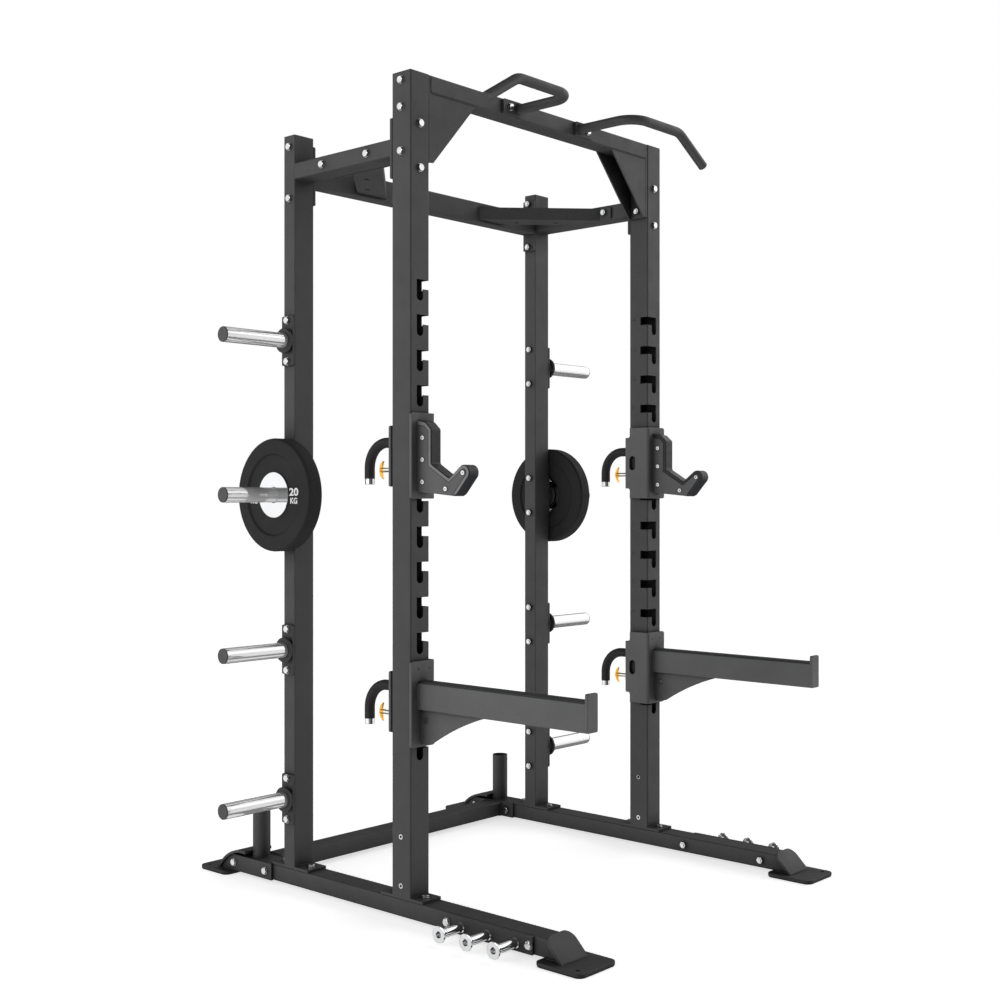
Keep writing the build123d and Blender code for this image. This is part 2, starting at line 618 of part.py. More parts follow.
with BuildPart() as band_pegs:
    add(peg_left.part)
    add(peg_left.part.mirror(Plane.YZ))

# ================================================= threaded inserts, uprights
with BuildPart() as insert_left:
    for z in (99, 237):
        for x0, s in ((-half_w, -1), (-xi, 1)):
            with BuildSketch(Plane.YZ.offset(x0)):
                with Locations((Y(tube / 2), z)):
                    Circle(7.5)
                    Circle(4.0, mode=Mode.SUBTRACT)
            extrude(amount=s * 1.2)
            with BuildSketch(Plane.YZ.offset(x0)):
                with Locations((Y(tube / 2), z)):
                    Circle(5.0)
                    Circle(4.0, mode=Mode.SUBTRACT)
            extrude(amount=-s * 14)

with BuildPart() as thread_inserts:
    add(insert_left.part)
    add(insert_left.part.mirror(Plane.YZ))

# ============================================================ bolts and nuts
# each entry: head seat point, outward direction, clamped length
joints_left = []
for z in front_bolt_z:
    joints_left.append(((-half_w, Y(tube / 2), z), "x", tube + end_t))
for z in side_bolt_z:
    joints_left.append(((-xc, Y(0), z), "y", tube + end_t))
for z in rear_bolt_z:
    joints_left.append(((-half_w, Y(rear_y + rear_d / 2), z), "x", tube + end_t))
for z in horn_z:
    for s in (-1, 1):
        joints_left.append(((-half_w - mount_t, Y(rear_y + rear_d / 2), z + s * horn_bolt), "x", tube + mount_t))
for y in brace_side_bolt_y:
    joints_left.append(((-half_w, Y(y), 2180.0), "x", tube + brace_t))
for x in brace_rear_bolt_x:
    joints_left.append(((-x, Y(rear_y + rear_d), 2180.0), "r", rear_d + brace_t))
for x in grip_bolt_x:
    joints_left.append(((-x, Y(-8), grip_z), "y", 8 + wall))
for y in base_bolt_y:
    joints_left.append(((-xc, Y(y), z_rail1 + base_plate_t), "z", base_plate_t + wall))
for y in peg_bolt_y:
    joints_left.append(((-half_w - peg_plate_t, Y(y), z_rail), "x", tube + peg_plate_t))
for y in foot_bolt_y:
    joints_left.append(((-half_w - bracket_t, Y(y), z_rail), "x", tube + 2 * bracket_t))

outward = {"x": (-1, 0, 0), "y": (0, -1, 0), "r": (0, 1, 0), "z": (0, 0, 1)}
across = {"x": (0, 1, 0), "y": (1, 0, 0), "r": (1, 0, 0), "z": (1, 0, 0)}

with BuildPart() as bolt_head:
    with BuildSketch():
        RegularPolygon(hex_af / 2, 6, major_radius=False)
    extrude(amount=head_h)
    with BuildSketch(Plane.XZ):
        with BuildLine():
            Polyline((0, -1), (14, -1), (14, head_h - 2.6), (hex_af / 2 - 0.3, head_h), (0, head_h), close=True)
        make_face()
    revolve(axis=Axis.Z, mode=Mode.INTERSECT)

    # washer face under the head
    with BuildSketch():
        Circle(washer_r)
    extrude(amount=1.8)

with BuildPart() as nut_blank:
    with BuildSketch():
        RegularPolygon(hex_af / 2, 6, major_radius=False)
    extrude(amount=nut_h)
    with BuildSketch(Plane.XZ):
        with BuildLine():
            Polyline((0, -1), (14, -1), (14, nut_h - 2.6), (hex_af / 2 - 0.3, nut_h), (0, nut_h), close=True)
        make_face()
    revolve(axis=Axis.Z, mode=Mode.INTERSECT)
    with BuildSketch():
        Circle(bolt_r)
    extrude(amount=nut_h, mode=Mode.SUBTRACT)

with BuildPart() as bolts_left:
    for seat, way, grip in joints_left:
        pl = Plane(origin=seat, x_dir=across[way], z_dir=outward[way])
        add(pl.location * bolt_head.part)
        with BuildSketch(pl):
            Circle(bolt_r)
        extrude(amount=-(grip + nut_h + 2.0))

with BuildPart() as hex_bolts:
    add(bolts_left.part)
    add(bolts_left.part.mirror(Plane.YZ))

with BuildPart() as nuts_left:
    for seat, way, grip in joints_left:
        d = outward[way]
        at = tuple(seat[i] - d[i] * grip for i in range(3))
        add(Plane(origin=at, x_dir=across[way], z_dir=tuple(-v for v in d)).location * nut_blank.part)

with BuildPart() as hex_nuts:
    add(nuts_left.part)
    add(nuts_left.part.mirror(Plane.YZ))

# ================================================================= carriages
# bent plate wrapping the front, inner side and rear of an upright, with two
# lugs that drop into neighbouring slots
with BuildPart() as blank:
    with BuildSketch(Plane.XY.offset(c_z0)) as u_shape:
        with BuildLine():
            Polyline((-flange_x, Y(c_front)), (-web_x, Y(c_front)), (-web_x, Y(c_rear)), (-half_w, Y(c_rear)), (-half_w, Y(c_rear - sheet)),
                     (-web_x - sheet, Y(c_rear - sheet)), (-web_x - sheet, Y(c_front + sheet)), (-flange_x, Y(c_front + sheet)), close=True)
        make_face()
        fillet(u_shape.vertices().filter_by(lambda v: abs(v.X + web_x) < 0.01), 10.0)
        fillet(u_shape.vertices().filter_by(lambda v: abs(v.X + web_x + sheet) < 0.01), 2.0)
    extrude(amount=c_z1 - c_z0)
    # shorter rear ear with a hollow corner above and below
    with BuildSketch(Plane.YZ.offset(-half_w - 10)) as ears:
        with Locations((Y(90), ear_z1 + 30)):
            Rectangle(50, 60)
        with Locations((Y(90), ear_z0 - 30)):
            Rectangle(50, 60)
        fillet(ears.vertices().filter_by(lambda v: abs(v.Y - ear_z1) < 0.01 or abs(v.Y - ear_z0) < 0.01).group_by(Axis.X)[0], 8)
    extrude(amount=110, mode=Mode.SUBTRACT)
    fillet(blank.edges().filter_by(Axis.Y).group_by(Axis.X)[0], 8)
    fillet(blank.edges().filter_by(Axis.Y).filter_by(lambda e: abs(e.center().X + half_w) < 0.1), 6)
    # softened outer edges of the front flange
    fillet(blank.faces().sort_by(Axis.Y)[0].edges(), 2.0)
    # viewing window in the web
    with BuildSketch(Plane.YZ.offset(-web_x - sheet - 1)):
        with Locations((Y(54), 1307.3)):
            SlotOverall(48.5, 25, rotation=90)
    extrude(amount=sheet + 2, mode=Mode.SUBTRACT)
    # rivet dots at the top of the front flange
    with BuildSketch(Plane.XZ.offset(-Y(c_front + 3))):
        with Locations((-580, 1406), (-537, 1406)):
            Circle(2.2)
    extrude(amount=6, mode=Mode.SUBTRACT)
    # pop-pin hole
    with BuildSketch(Plane.XZ.offset(-Y(c_rear + 1))):
        with Locations((-xc, pin_z)):
            Circle(6.4)
    extrude(amount=sheet + 2, mode=Mode.SUBTRACT)
    # lugs
    with BuildSketch(Plane.XZ.offset(-Y(26))) as lug:
        with Locations(*[(-xc, slot_tops[i] - slot_h + 0.3 + 13) for i in (j_slot - 1, j_slot)]):
            Rectangle(24, 26)
        low = lug.vertices().filter_by(lambda v: any(abs(v.Y - (slot_tops[i] - slot_h + 0.3)) < 0.01 for i in (j_slot - 1, j_slot)))
        high = lug.vertices().filter_by(lambda v: any(abs(v.Y - (slot_tops[i] - slot_h + 26.3)) < 0.01 for i in (j_slot - 1, j_slot)))
        fillet(low, 11.5)
        fillet(high, 2.0)
    extrude(amount=26 - c_front - sheet)

# wear liners between the bent plate and the upright
with BuildPart() as liners:
    with BuildSketch(Plane.XZ.offset(-Y(-1.0))) as front_liner:
        with Locations((-xc, (c_z0 + c_z1) / 2)):
            RectangleRounded(70, c_z1 - c_z0 - 8, 4)
        with Locations(*[(-xc, slot_tops[i] - slot_h + 13.3) for i in (j_slot - 1, j_slot)]):
            RectangleRounded(26, 28, 2, mode=Mode.SUBTRACT)
    extrude(amount=2.5)
    with BuildSketch(Plane.YZ.offset(-web_x - sheet)):
        with Locations((Y(33), (c_z0 + c_z1) / 2)):
            RectangleRounded(58, c_z1 - c_z0 - 8, 4)
        with Locations((Y(54), 1307.3)):
            SlotOverall(50.5, 27, rotation=90, mode=Mode.SUBTRACT)
    extrude(amount=-4)
    with BuildSketch(Plane.XZ.offset(-Y(c_rear - sheet))):
        with Locations((-xc, (ear_z0 + ear_z1) / 2)):
            RectangleRounded(70, ear_z1 - ear_z0 - 6, 4)
        with Locations((-xc, pin_z)):
            Circle(7.5, mode=Mode.SUBTRACT)
    extrude(amount=4)

# bent hand grip: bright core with a dark sleeve
with BuildPart() as grip_core:
    with BuildLine() as core_path:
        FilletPolyline((-xc, Y(c_rear), handle_z), (-xc, Y(handle_y), handle_z), (-xc, Y(handle_y), 1228.0), radius=handle_bend)
    with BuildSketch(Plane(origin=core_path.line @ 0, z_dir=core_path.line % 0)):
        Circle(13.6)
    sweep()
    fillet(grip_core.edges().group_by(Axis.Z)[0], 1.5)

with BuildPart() as grip_sleeve:
    with BuildLine() as sleeve_path:
        FilletPolyline((-xc, Y(c_rear), handle_z), (-xc, Y(handle_y), handle_z), (-xc, Y(handle_y), 1244.5), radius=handle_bend)
    with BuildSketch(Plane(origin=sleeve_path.line @ 0, z_dir=sleeve_path.line % 0)):
        Circle(15.0)
        Circle(13.6, mode=Mode.SUBTRACT)
    sweep()

# short round pop-pin boss welded to the rear flange
with BuildPart() as barrel:
    with BuildSketch(Plane.XZ.offset(-Y(c_rear))):
        with Locations((-xc, pin_z)):
            Circle(11.0)
    extrude(amount=-boss_l)
    chamfer(barrel.edges().filter_by(GeomType.CIRCLE).group_by(Axis.Y)[-1], 1.5)
    with BuildSketch(Plane.XZ.offset(-Y(c_rear - sheet))):
        with Locations((-xc, pin_z)):
            Circle(6.4)
    extrude(amount=-(boss_l + sheet + 1), mode=Mode.SUBTRACT)

# pop-pin plunger and wing knob
with BuildPart() as plunger:
    with BuildSketch(Plane.YZ.offset(-xc)):
        with BuildLine():
            Polyline((Y(66), pin_z), (Y(66), pin_z + 4.5), (Y(68), pin_z + 6), (Y(105), pin_z + 6), (Y(105), pin_z + 6.7), (Y(105.8), pin_z + 7.5),
                     (Y(114), pin_z + 7.5), (Y(114), pin_z + 4), (Y(156), pin_z + 4), (Y(156), pin_z), close=True)
        make_face()
    revolve(axis=Axis((-xc, 0, pin_z), (0, 1, 0)))

with BuildPart() as knob:
    # crescent wings, hollow side towards the upright
    with BuildSketch(Plane.YZ.offset(-xc)) as wing:
        with BuildLine():
            k1 = ThreePointArc((Y(152.5), pin_z + 5.0), (Y(150.6), pin_z + 17.0), (Y(145.5), pin_z + 28.5))
            k2 = ThreePointArc((Y(145.5), pin_z + 28.5), (Y(163.5), pin_z), (Y(145.5), pin_z - 28.5))
            k3 = ThreePointArc((Y(145.5), pin_z - 28.5), (Y(150.6), pin_z - 17.0), (Y(152.5), pin_z - 5.0))
            k4 = Line((Y(152.5), pin_z - 5.0), (Y(152.5), pin_z + 5.0))
        make_face()
        fillet(wing.vertices().filter_by(lambda v: abs(v.Y - pin_z) > 20), 1.3)
    extrude(amount=3.2, both=True)
    fillet(knob.edges().filter_by(Plane.YZ), 0.9)
    # bright neck
    with BuildSketch(Plane.YZ.offset(-xc)):
        with BuildLine():
            Polyline((Y(114), pin_z), (Y(114), pin_z + 6.0), (Y(115), pin_z + 6.6), (Y(140), pin_z + 6.6), (Y(141), pin_z + 6.9), (Y(157), pin_z + 6.9), (Y(159), pin_z + 5.5), (Y(159), pin_z), close=True)
        make_face()
    revolve(axis=Axis((-xc, 0, pin_z), (0, 1, 0)))
    with BuildSketch(Plane.XZ.offset(-Y(113))):
        with Locations((-xc, pin_z)):
            Circle(4.0)
    extrude(amount=-43, mode=Mode.SUBTRACT)

# ------------------------------------------------------------------- J-hooks
nose_y, nose_z, nose_r = -186.5, 1258.0, 21.5
hook_back = [(-11.5, 1405), (-22, 1405), (-41, 1400.5), (-63.4, 1381), (-63.4, 1284), (-132.6, 1243.6)]
hook_low = [(-163, 1199.5), (-152, 1194), (-75, 1201), (-11.5, 1206)]
cheek_back = [(-11.5, 1393), (-36.5, 1389), (-52.0, 1375.5), (-52.0, 1277.5), (-131.0, 1231.3)]
cheek_low = [(-154.5, 1206.5), (-147, 1194.5), (-75, 1201), (-11.5, 1206)]
# tangent points of the round nose: cradle side, tip, front
hook_n = [(nose_r * 0.62, nose_r * 0.785), (-nose_r * 0.62, nose_r * 0.785), (-nose_r * 0.785, -nose_r * 0.62)]
cheek_n = [((nose_r - 11.5) * 0.62, (nose_r - 11.5) * 0.785), (-(nose_r - 11.5) * 0.62, (nose_r - 11.5) * 0.785), (-(nose_r - 11.5) * 0.785, -(nose_r - 11.5) * 0.62)]
hook_screws = [(-31, 1357), (-31, 1295.5), (-31, 1233.5), (-120, 1214), (-185.5, 1257.5)]

with BuildPart() as jhook_carriage_left:
    add(blank.part)
    for x0 in (-xc - hook_w / 2, -xc + hook_w / 2 - 5):
        with BuildSketch(Plane.YZ.offset(x0)):
            with BuildLine():
                c1 = Polyline([(Y(a), b) for a, b in cheek_back])
                c2 = Line(c1 @ 1, (Y(nose_y + cheek_n[0][0]), nose_z + cheek_n[0][1]))
                c3 = ThreePointArc(c2 @ 1, (Y(nose_y + cheek_n[1][0]), nose_z + cheek_n[1][1]), (Y(nose_y + cheek_n[2][0]), nose_z + cheek_n[2][1]))
                c4 = Polyline([c3 @ 1] + [(Y(a), b) for a, b in cheek_low] + [c1 @ 0])
            make_face()
            with Locations(*[(Y(a), b) for a, b in hook_screws]):
                Circle(3.0, mode=Mode.SUBTRACT)
        extrude(amount=5)
    add(barrel.part)

with BuildPart() as jhook_liner_left:
    with BuildSketch(Plane.YZ.offset(-xc - hook_w / 2)) as hook_sk:
        with BuildLine():
            h1 = Polyline([(Y(a), b) for a, b in hook_back])
            h2 = Line(h1 @ 1, (Y(nose_y + hook_n[0][0]), nose_z + hook_n[0][1]))
            h3 = ThreePointArc(h2 @ 1, (Y(nose_y + hook_n[1][0]), nose_z + hook_n[1][1]), (Y(nose_y + hook_n[2][0]), nose_z + hook_n[2][1]))
            h4 = Polyline([h3 @ 1] + [(Y(a), b) for a, b in hook_low] + [h1 @ 0])
        make_face()
        fillet(hook_sk.vertices().filter_by(lambda v: any(abs(v.X - Y(q)) < 0.5 and abs(v.Y - w) < 0.5 for q, w in ((-41, 1400.5), (-63.4, 1381), (-63.4, 1284)))), 9)
        fillet(hook_sk.vertices().filter_by(lambda v: abs(v.X - Y(-132.6)) < 0.5), 7)
        fillet(hook_sk.vertices().filter_by(lambda v: abs(v.X - Y(-163)) < 0.5), 6)
    extrude(amount=hook_w)
    # softened rim of the bearing surface
    fillet(jhook_liner_left.edges().filter_by(Plane.YZ).filter_by(lambda e: e.center().Y < Y(-30) and not (e.center().Z < 1204.5 and e.center().Y > Y(-155))), 3.0)
    for x0 in (-xc - hook_w / 2, -xc + hook_w / 2 - 5):
        with BuildSketch(Plane.YZ.offset(x0)):
            with BuildLine():
                c1 = Polyline([(Y(a), b) for a, b in cheek_back])
                c2 = Line(c1 @ 1, (Y(nose_y + cheek_n[0][0]), nose_z + cheek_n[0][1]))
                c3 = ThreePointArc(c2 @ 1, (Y(nose_y + cheek_n[1][0]), nose_z + cheek_n[1][1]), (Y(nose_y + cheek_n[2][0]), nose_z + cheek_n[2][1]))
                c4 = Polyline([c3 @ 1] + [(Y(a), b) for a, b in cheek_low] + [c1 @ 0])
            make_face()
        extrude(amount=5, mode=Mode.SUBTRACT)
    with BuildSketch(Plane.YZ.offset(-xc - hook_w / 2)):
        with Locations(*[(Y(a), b) for a, b in hook_screws]):
            Circle(3.0)
    extrude(amount=hook_w, mode=Mode.SUBTRACT)
    add(liners.part)

with BuildPart() as jhook_grip_left:
    add(grip_sleeve.part)

with BuildPart() as jhook_fittings_left:
    add(grip_core.part)
    for s in (-1, 1):
        with BuildSketch(Plane.YZ.offset(-xc + s * hook_w / 2)):
            with Locations(*[(Y(a), b) for a, b in hook_screws]):
                Circle(6.2)
        extrude(amount=s * 3)
        with BuildSketch(Plane.YZ.offset(-xc + s * (hook_w / 2 + 3))):
            with Locations(*[(Y(a), b) for a, b in hook_screws]):
                RegularPolygon(2.5, 6)
        extrude(amount=-s * 2, mode=Mode.SUBTRACT)
        with BuildSketch(Plane.YZ.offset(-xc + s * hook_w / 2)):
            with Locations(*[(Y(a), b) for a, b in hook_screws]):
                Circle(3.0)
        extrude(amount=-s * 16)

with BuildPart() as jhook_pin_left:
    add(plunger.part)

with BuildPart() as jhook_knob_left:
    add(knob.part)

with BuildPart() as jhook_carriage_right:
    add(jhook_carriage_left.part.mirror(Plane.YZ))
with BuildPart() as jhook_liner_right:
    add(jhook_liner_left.part.mirror(Plane.YZ))
with BuildPart() as jhook_grip_right:
    add(jhook_grip_left.part.mirror(Plane.YZ))
with BuildPart() as jhook_fittings_right:
    add(jhook_fittings_left.part.mirror(Plane.YZ))
with BuildPart() as jhook_pin_right:
    add(jhook_pin_left.part.mirror(Plane.YZ))
with BuildPart() as jhook_knob_right:
    add(jhook_knob_left.part.mirror(Plane.YZ))

# --------------------------------------------------------------- safety arms
arm_z0, arm_z1 = 597.0, 672.0
arm_end = -607.5
drop = Location((0, 0, safety_shift))
arm_screws = [(-30.0, 566.0)]
pad_screws_y = (-45.0, -590.0)

with BuildPart() as safety_carriage_left:
    add(drop * blank.part)
    add(drop * barrel.part)
    with BuildSketch(Plane.XZ.offset(-Y(c_front))):
        with Locations((-xc, (arm_z0 + arm_z1) / 2)):
            RectangleRounded(hook_w, arm_z1 - arm_z0, 3)
            RectangleRounded(hook_w - 2 * wall, arm_z1 - arm_z0 - 2 * wall, 1.5, mode=Mode.SUBTRACT)
    extrude(amount=c_front - arm_end)
    # raised end stop
    with BuildSketch(Plane.XZ.offset(-Y(arm_end))):
        with Locations((-xc, (arm_z0 + 697) / 2)):
            RectangleRounded(44, 697 - arm_z0, 5)
    extrude(amount=8)
    fillet(safety_carriage_left.faces().sort_by(Axis.Y)[0].edges(), 2.0)
    # curved gusset under the arm
    with BuildSketch(Plane.YZ.offset(-xc - 4)):
        with BuildLine():
            g1 = Line((Y(c_front), arm_z0), (Y(-245), arm_z0))
            g2 = Line((Y(-245), arm_z0), (Y(-245), arm_z0 - 3))
            g3 = ThreePointArc((Y(-245), arm_z0 - 3), (Y(-146), 556), (Y(-49), 503))
            g4 = Line((Y(-49), 503), (Y(c_front), 498))
            g5 = Line((Y(c_front), 498), (Y(c_front), arm_z0))
        make_face()
        with Locations(*[(Y(a), b) for a, b in arm_screws]):
            Circle(4.0, mode=Mode.SUBTRACT)
    extrude(amount=8)
    # pad screw holes in the top wall
    with BuildSketch(Plane.XY.offset(arm_z1 - wall - 1)):
        with Locations(*[(-xc, Y(y)) for y in pad_screws_y]):
            Circle(3.0)
    extrude(amount=wall + 2, mode=Mode.SUBTRACT)

with BuildPart() as safety_pad_left:
    with BuildSketch(Plane.XY.offset(arm_z1)):
        with Locations((-xc, Y((c_front + arm_end) / 2))):
            RectangleRounded(37, c_front - arm_end - 2, 2)
    extrude(amount=5)
    chamfer(safety_pad_left.faces().sort_by(Axis.Z)[-1].edges(), 1.0)
    with BuildSketch(Plane.XY.offset(arm_z1)):
        with Locations(*[(-xc, Y(y)) for y in pad_screws_y]):
            Circle(3.0)
    extrude(amount=7, mode=Mode.SUBTRACT)
    with BuildSketch(Plane.XY.offset(arm_z1 + 2)):
        with Locations(*[(-xc, Y(y)) for y in pad_screws_y]):
            Circle(5.5)
    extrude(amount=4, mode=Mode.SUBTRACT)
    add(drop * liners.part)

with BuildPart() as safety_grip_left:
    add(drop * grip_sleeve.part)

with BuildPart() as safety_fittings_left:
    add(drop * grip_core.part)
    with BuildSketch(Plane.YZ.offset(-xc - 4)):
        with Locations(*[(Y(a), b) for a, b in arm_screws]):
            Circle(7.0)
    extrude(amount=-4)
    with BuildSketch(Plane.YZ.offset(-xc + 4)):
        with Locations(*[(Y(a), b) for a, b in arm_screws]):
            Circle(7.0)
    extrude(amount=4)
    with BuildSketch(Plane.YZ.offset(-xc - 4)):
        with Locations(*[(Y(a), b) for a, b in arm_screws]):
            Circle(4.0)
    extrude(amount=8)
    with BuildSketch(Plane.XY.offset(arm_z1 + 2)):
        with Locations(*[(-xc, Y(y)) for y in pad_screws_y]):
            Circle(5.5)
    extrude(amount=2)
    with BuildSketch(Plane.XY.offset(arm_z1 + 2)):
        with Locations(*[(-xc, Y(y)) for y in pad_screws_y]):
            Circle(3.0)
    extrude(amount=-12)

with BuildPart() as safety_pin_left:
    add(drop * plunger.part)

with BuildPart() as safety_knob_left:
    add(drop * knob.part)

with BuildPart() as safety_carriage_right:
    add(safety_carriage_left.part.mirror(Plane.YZ))
with BuildPart() as safety_pad_right:
    add(safety_pad_left.part.mirror(Plane.YZ))
with BuildPart() as safety_grip_right:
    add(safety_grip_left.part.mirror(Plane.YZ))
with BuildPart() as safety_fittings_right:
    add(safety_fittings_left.part.mirror(Plane.YZ))
with BuildPart() as safety_pin_right:
    add(safety_pin_left.part.mirror(Plane.YZ))
with BuildPart() as safety_knob_right:
    add(safety_knob_left.part.mirror(Plane.YZ))

# ==================================================================== export
nodes = {
    "base_rail_left": base_rail_left, "base_rail_right": base_rail_right,
    "front_foot_left": front_foot_left, "front_foot_right": front_foot_right,
    "rear_foot_left": rear_foot_left, "rear_foot_right": rear_foot_right,
    "foot_pads": foot_pads, "rear_crossmember": rear_crossmember,
    "front_upright_left": front_upright_left, "front_upright_right": front_upright_right,
    "rear_upright_left": rear_upright_left, "rear_upright_right": rear_upright_right,
    "front_top_beam": front_top_beam, "rear_top_beam": rear_top_beam,
    "side_top_beam_left": side_top_beam_left, "side_top_beam_right": side_top_beam_right,
    "corner_brace_left": corner_brace_left, "corner_brace_right": corner_brace_right,
    "pullup_handle_left": pullup_handle_left, "pullup_handle_right": pullup_handle_right,
    "tube_caps": tube_caps, "horn_caps": horn_caps,
    "weight_horns": weight_horns, "horn_mounts": horn_mounts,
    "weight_plate_left": weight_plate_left, "weight_plate_right": weight_plate_right,
    "plate_hub_left": plate_hub_left, "plate_hub_right": plate_hub_right,
    "peg_plates": peg_plates, "band_pegs": band_pegs,
    "thread_inserts": thread_inserts, "hex_bolts": hex_bolts, "hex_nuts": hex_nuts,
    "jhook_carriage_left": jhook_carriage_left, "jhook_carriage_right": jhook_carriage_right,
    "jhook_liner_left": jhook_liner_left, "jhook_liner_right": jhook_liner_right,
    "jhook_grip_left": jhook_grip_left, "jhook_grip_right": jhook_grip_right,
    "jhook_fittings_left": jhook_fittings_left, "jhook_fittings_right": jhook_fittings_right,
    "jhook_pin_left": jhook_pin_left, "jhook_pin_right": jhook_pin_right,
    "jhook_knob_left": jhook_knob_left, "jhook_knob_right": jhook_knob_right,
    "safety_carriage_left": safety_carriage_left, "safety_carriage_right": safety_carriage_right,
    "safety_pad_left": safety_pad_left, "safety_pad_right": safety_pad_right,
    "safety_grip_left": safety_grip_left, "safety_grip_right": safety_grip_right,
    "safety_fittings_left": safety_fittings_left, "safety_fittings_right": safety_fittings_right,
    "safety_pin_left": safety_pin_left, "safety_pin_right": safety_pin_right,
    "safety_knob_left": safety_knob_left, "safety_knob_right": safety_knob_right,
}
for node, builder in nodes.items():
    builder.part.label = node
    export_step(builder.part, "parts/" + node + ".step")
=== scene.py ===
import bpy, bmesh, math, random
from mathutils import Vector, Matrix


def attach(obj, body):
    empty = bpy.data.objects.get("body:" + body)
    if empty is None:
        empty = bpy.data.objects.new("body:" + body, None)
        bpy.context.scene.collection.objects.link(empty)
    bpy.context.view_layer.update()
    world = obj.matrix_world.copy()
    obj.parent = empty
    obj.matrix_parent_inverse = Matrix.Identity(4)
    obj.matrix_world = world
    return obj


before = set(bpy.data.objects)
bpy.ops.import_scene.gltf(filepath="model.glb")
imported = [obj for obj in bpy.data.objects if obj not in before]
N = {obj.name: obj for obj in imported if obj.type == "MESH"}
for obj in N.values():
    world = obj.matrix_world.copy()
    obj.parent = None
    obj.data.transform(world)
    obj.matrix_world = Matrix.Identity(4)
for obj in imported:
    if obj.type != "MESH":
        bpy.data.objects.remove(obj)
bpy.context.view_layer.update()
scene = bpy.context.scene
YF = -0.1445                      # front face of the front uprights


def Y(mm):
    return YF + mm / 1000.0


# ------------------------------------------------------------------ node help
class G:
    """Small helper to write shader graphs."""

    def __init__(self, name):
        self.mat = bpy.data.materials.new(name)
        self.mat.use_nodes = True
        self.t = self.mat.node_tree
        self.t.nodes.clear()
        self.out = self.t.nodes.new("ShaderNodeOutputMaterial")
        self.bsdf = self.t.nodes.new("ShaderNodeBsdfPrincipled")
        self.t.links.new(self.bsdf.outputs[0], self.out.inputs["Surface"])
        self.tc = self.t.nodes.new("ShaderNodeTexCoord")

    def n(self, kind, **kw):
        node = self.t.nodes.new(kind)
        for k, v in kw.items():
            setattr(node, k, v)
        return node

    def link(self, a, b):
        self.t.links.new(a, b)

    def noise(self, scale, detail=3.0, rough=0.55, vec=None, stretch=None):
        node = self.n("ShaderNodeTexNoise")
        node.inputs["Scale"].default_value = scale
        node.inputs["Detail"].default_value = detail
        node.inputs["Roughness"].default_value = rough
        src = vec or self.tc.outputs["Object"]
        if stretch:
            m = self.n("ShaderNodeMapping")
            m.inputs["Scale"].default_value = stretch
            self.link(src, m.inputs["Vector"])
            src = m.outputs["Vector"]
        self.link(src, node.inputs["Vector"])
        return node.outputs["Fac"]

    def voronoi(self, scale, feature="F1", out="Distance"):
        node = self.n("ShaderNodeTexVoronoi", feature=feature)
        node.inputs["Scale"].default_value = scale
        self.link(self.tc.outputs["Object"], node.inputs["Vector"])
        return node.outputs[out]

    def ramp(self, fac, stops):
        node = self.n("ShaderNodeValToRGB")
        e = node.color_ramp.elements
        while len(e) < len(stops):
            e.new(0.5)
        for i, (p, c) in enumerate(stops):
            e[i].position = p
            e[i].color = (c[0], c[1], c[2], 1) if isinstance(c, (tuple, list)) else (c, c, c, 1)
        self.link(fac, node.inputs["Fac"])
        return node.outputs["Color"]

    def map(self, val, a, b, c, d, clamp=True):
        node = self.n("ShaderNodeMapRange")
        node.clamp = clamp
        self.link(val, node.inputs["Value"])
        node.inputs["From Min"].default_value = a
        node.inputs["From Max"].default_value = b
        node.inputs["To Min"].default_value = c
        node.inputs["To Max"].default_value = d
        return node.outputs["Result"]

    def math(self, op, a, b=None):
        node = self.n("ShaderNodeMath", operation=op)
        for i, v in enumerate((a, b)):
            if v is None:
                continue
            if isinstance(v, (int, float)):
                node.inputs[i].default_value = v
            else:
                self.link(v, node.inputs[i])
        return node.outputs[0]

    def mix(self, fac, a, b, blend="MIX"):
        node = self.n("ShaderNodeMix", data_type="RGBA", blend_type=blend)
        ins = [s for s in node.inputs if s.type == "RGBA"]
        facs = [s for s in node.inputs if s.name == "Factor" and s.type == "VALUE"]
        if isinstance(fac, (int, float)):
            facs[0].default_value = fac
        else:
            self.link(fac, facs[0])
        for s, v in zip(ins, (a, b)):
            if isinstance(v, (tuple, list)):
                s.default_value = (v[0], v[1], v[2], 1)
            else:
                self.link(v, s)
        return [o for o in node.outputs if o.type == "RGBA"][0]

    def edge(self, radius=0.0015, lo=0.80, hi=0.985):
        """1 on convex or concave edges, 0 on flats."""
        bev = self.n("ShaderNodeBevel", samples=4)
        bev.inputs["Radius"].default_value = radius
        geo = self.n("ShaderNodeNewGeometry")
        dot = self.n("ShaderNodeVectorMath", operation="DOT_PRODUCT")
        self.link(bev.outputs["Normal"], dot.inputs[0])
        self.link(geo.outputs["Normal"], dot.inputs[1])
        return self.map(dot.outputs["Value"], lo, hi, 1.0, 0.0), bev.outputs["Normal"]

    def occlusion(self, dist):
        node = self.n("ShaderNodeAmbientOcclusion", samples=6)
        node.inputs["Distance"].default_value = dist
        return node.outputs["AO"]

    def bump(self, height, strength, dist, normal=None):
        node = self.n("ShaderNodeBump")
        node.inputs["Strength"].default_value = strength
        node.inputs["Distance"].default_value = dist
        self.link(height, node.inputs["Height"])
        if normal is not None:
            self.link(normal, node.inputs["Normal"])
        return node.outputs["Normal"]

    def set(self, **kw):
        for k, v in kw.items():
            self.bsdf.inputs[k.replace("_", " ")].default_value = v
        return self

    def plug(self, name, sock):
        self.link(sock, self.bsdf.inputs[name])


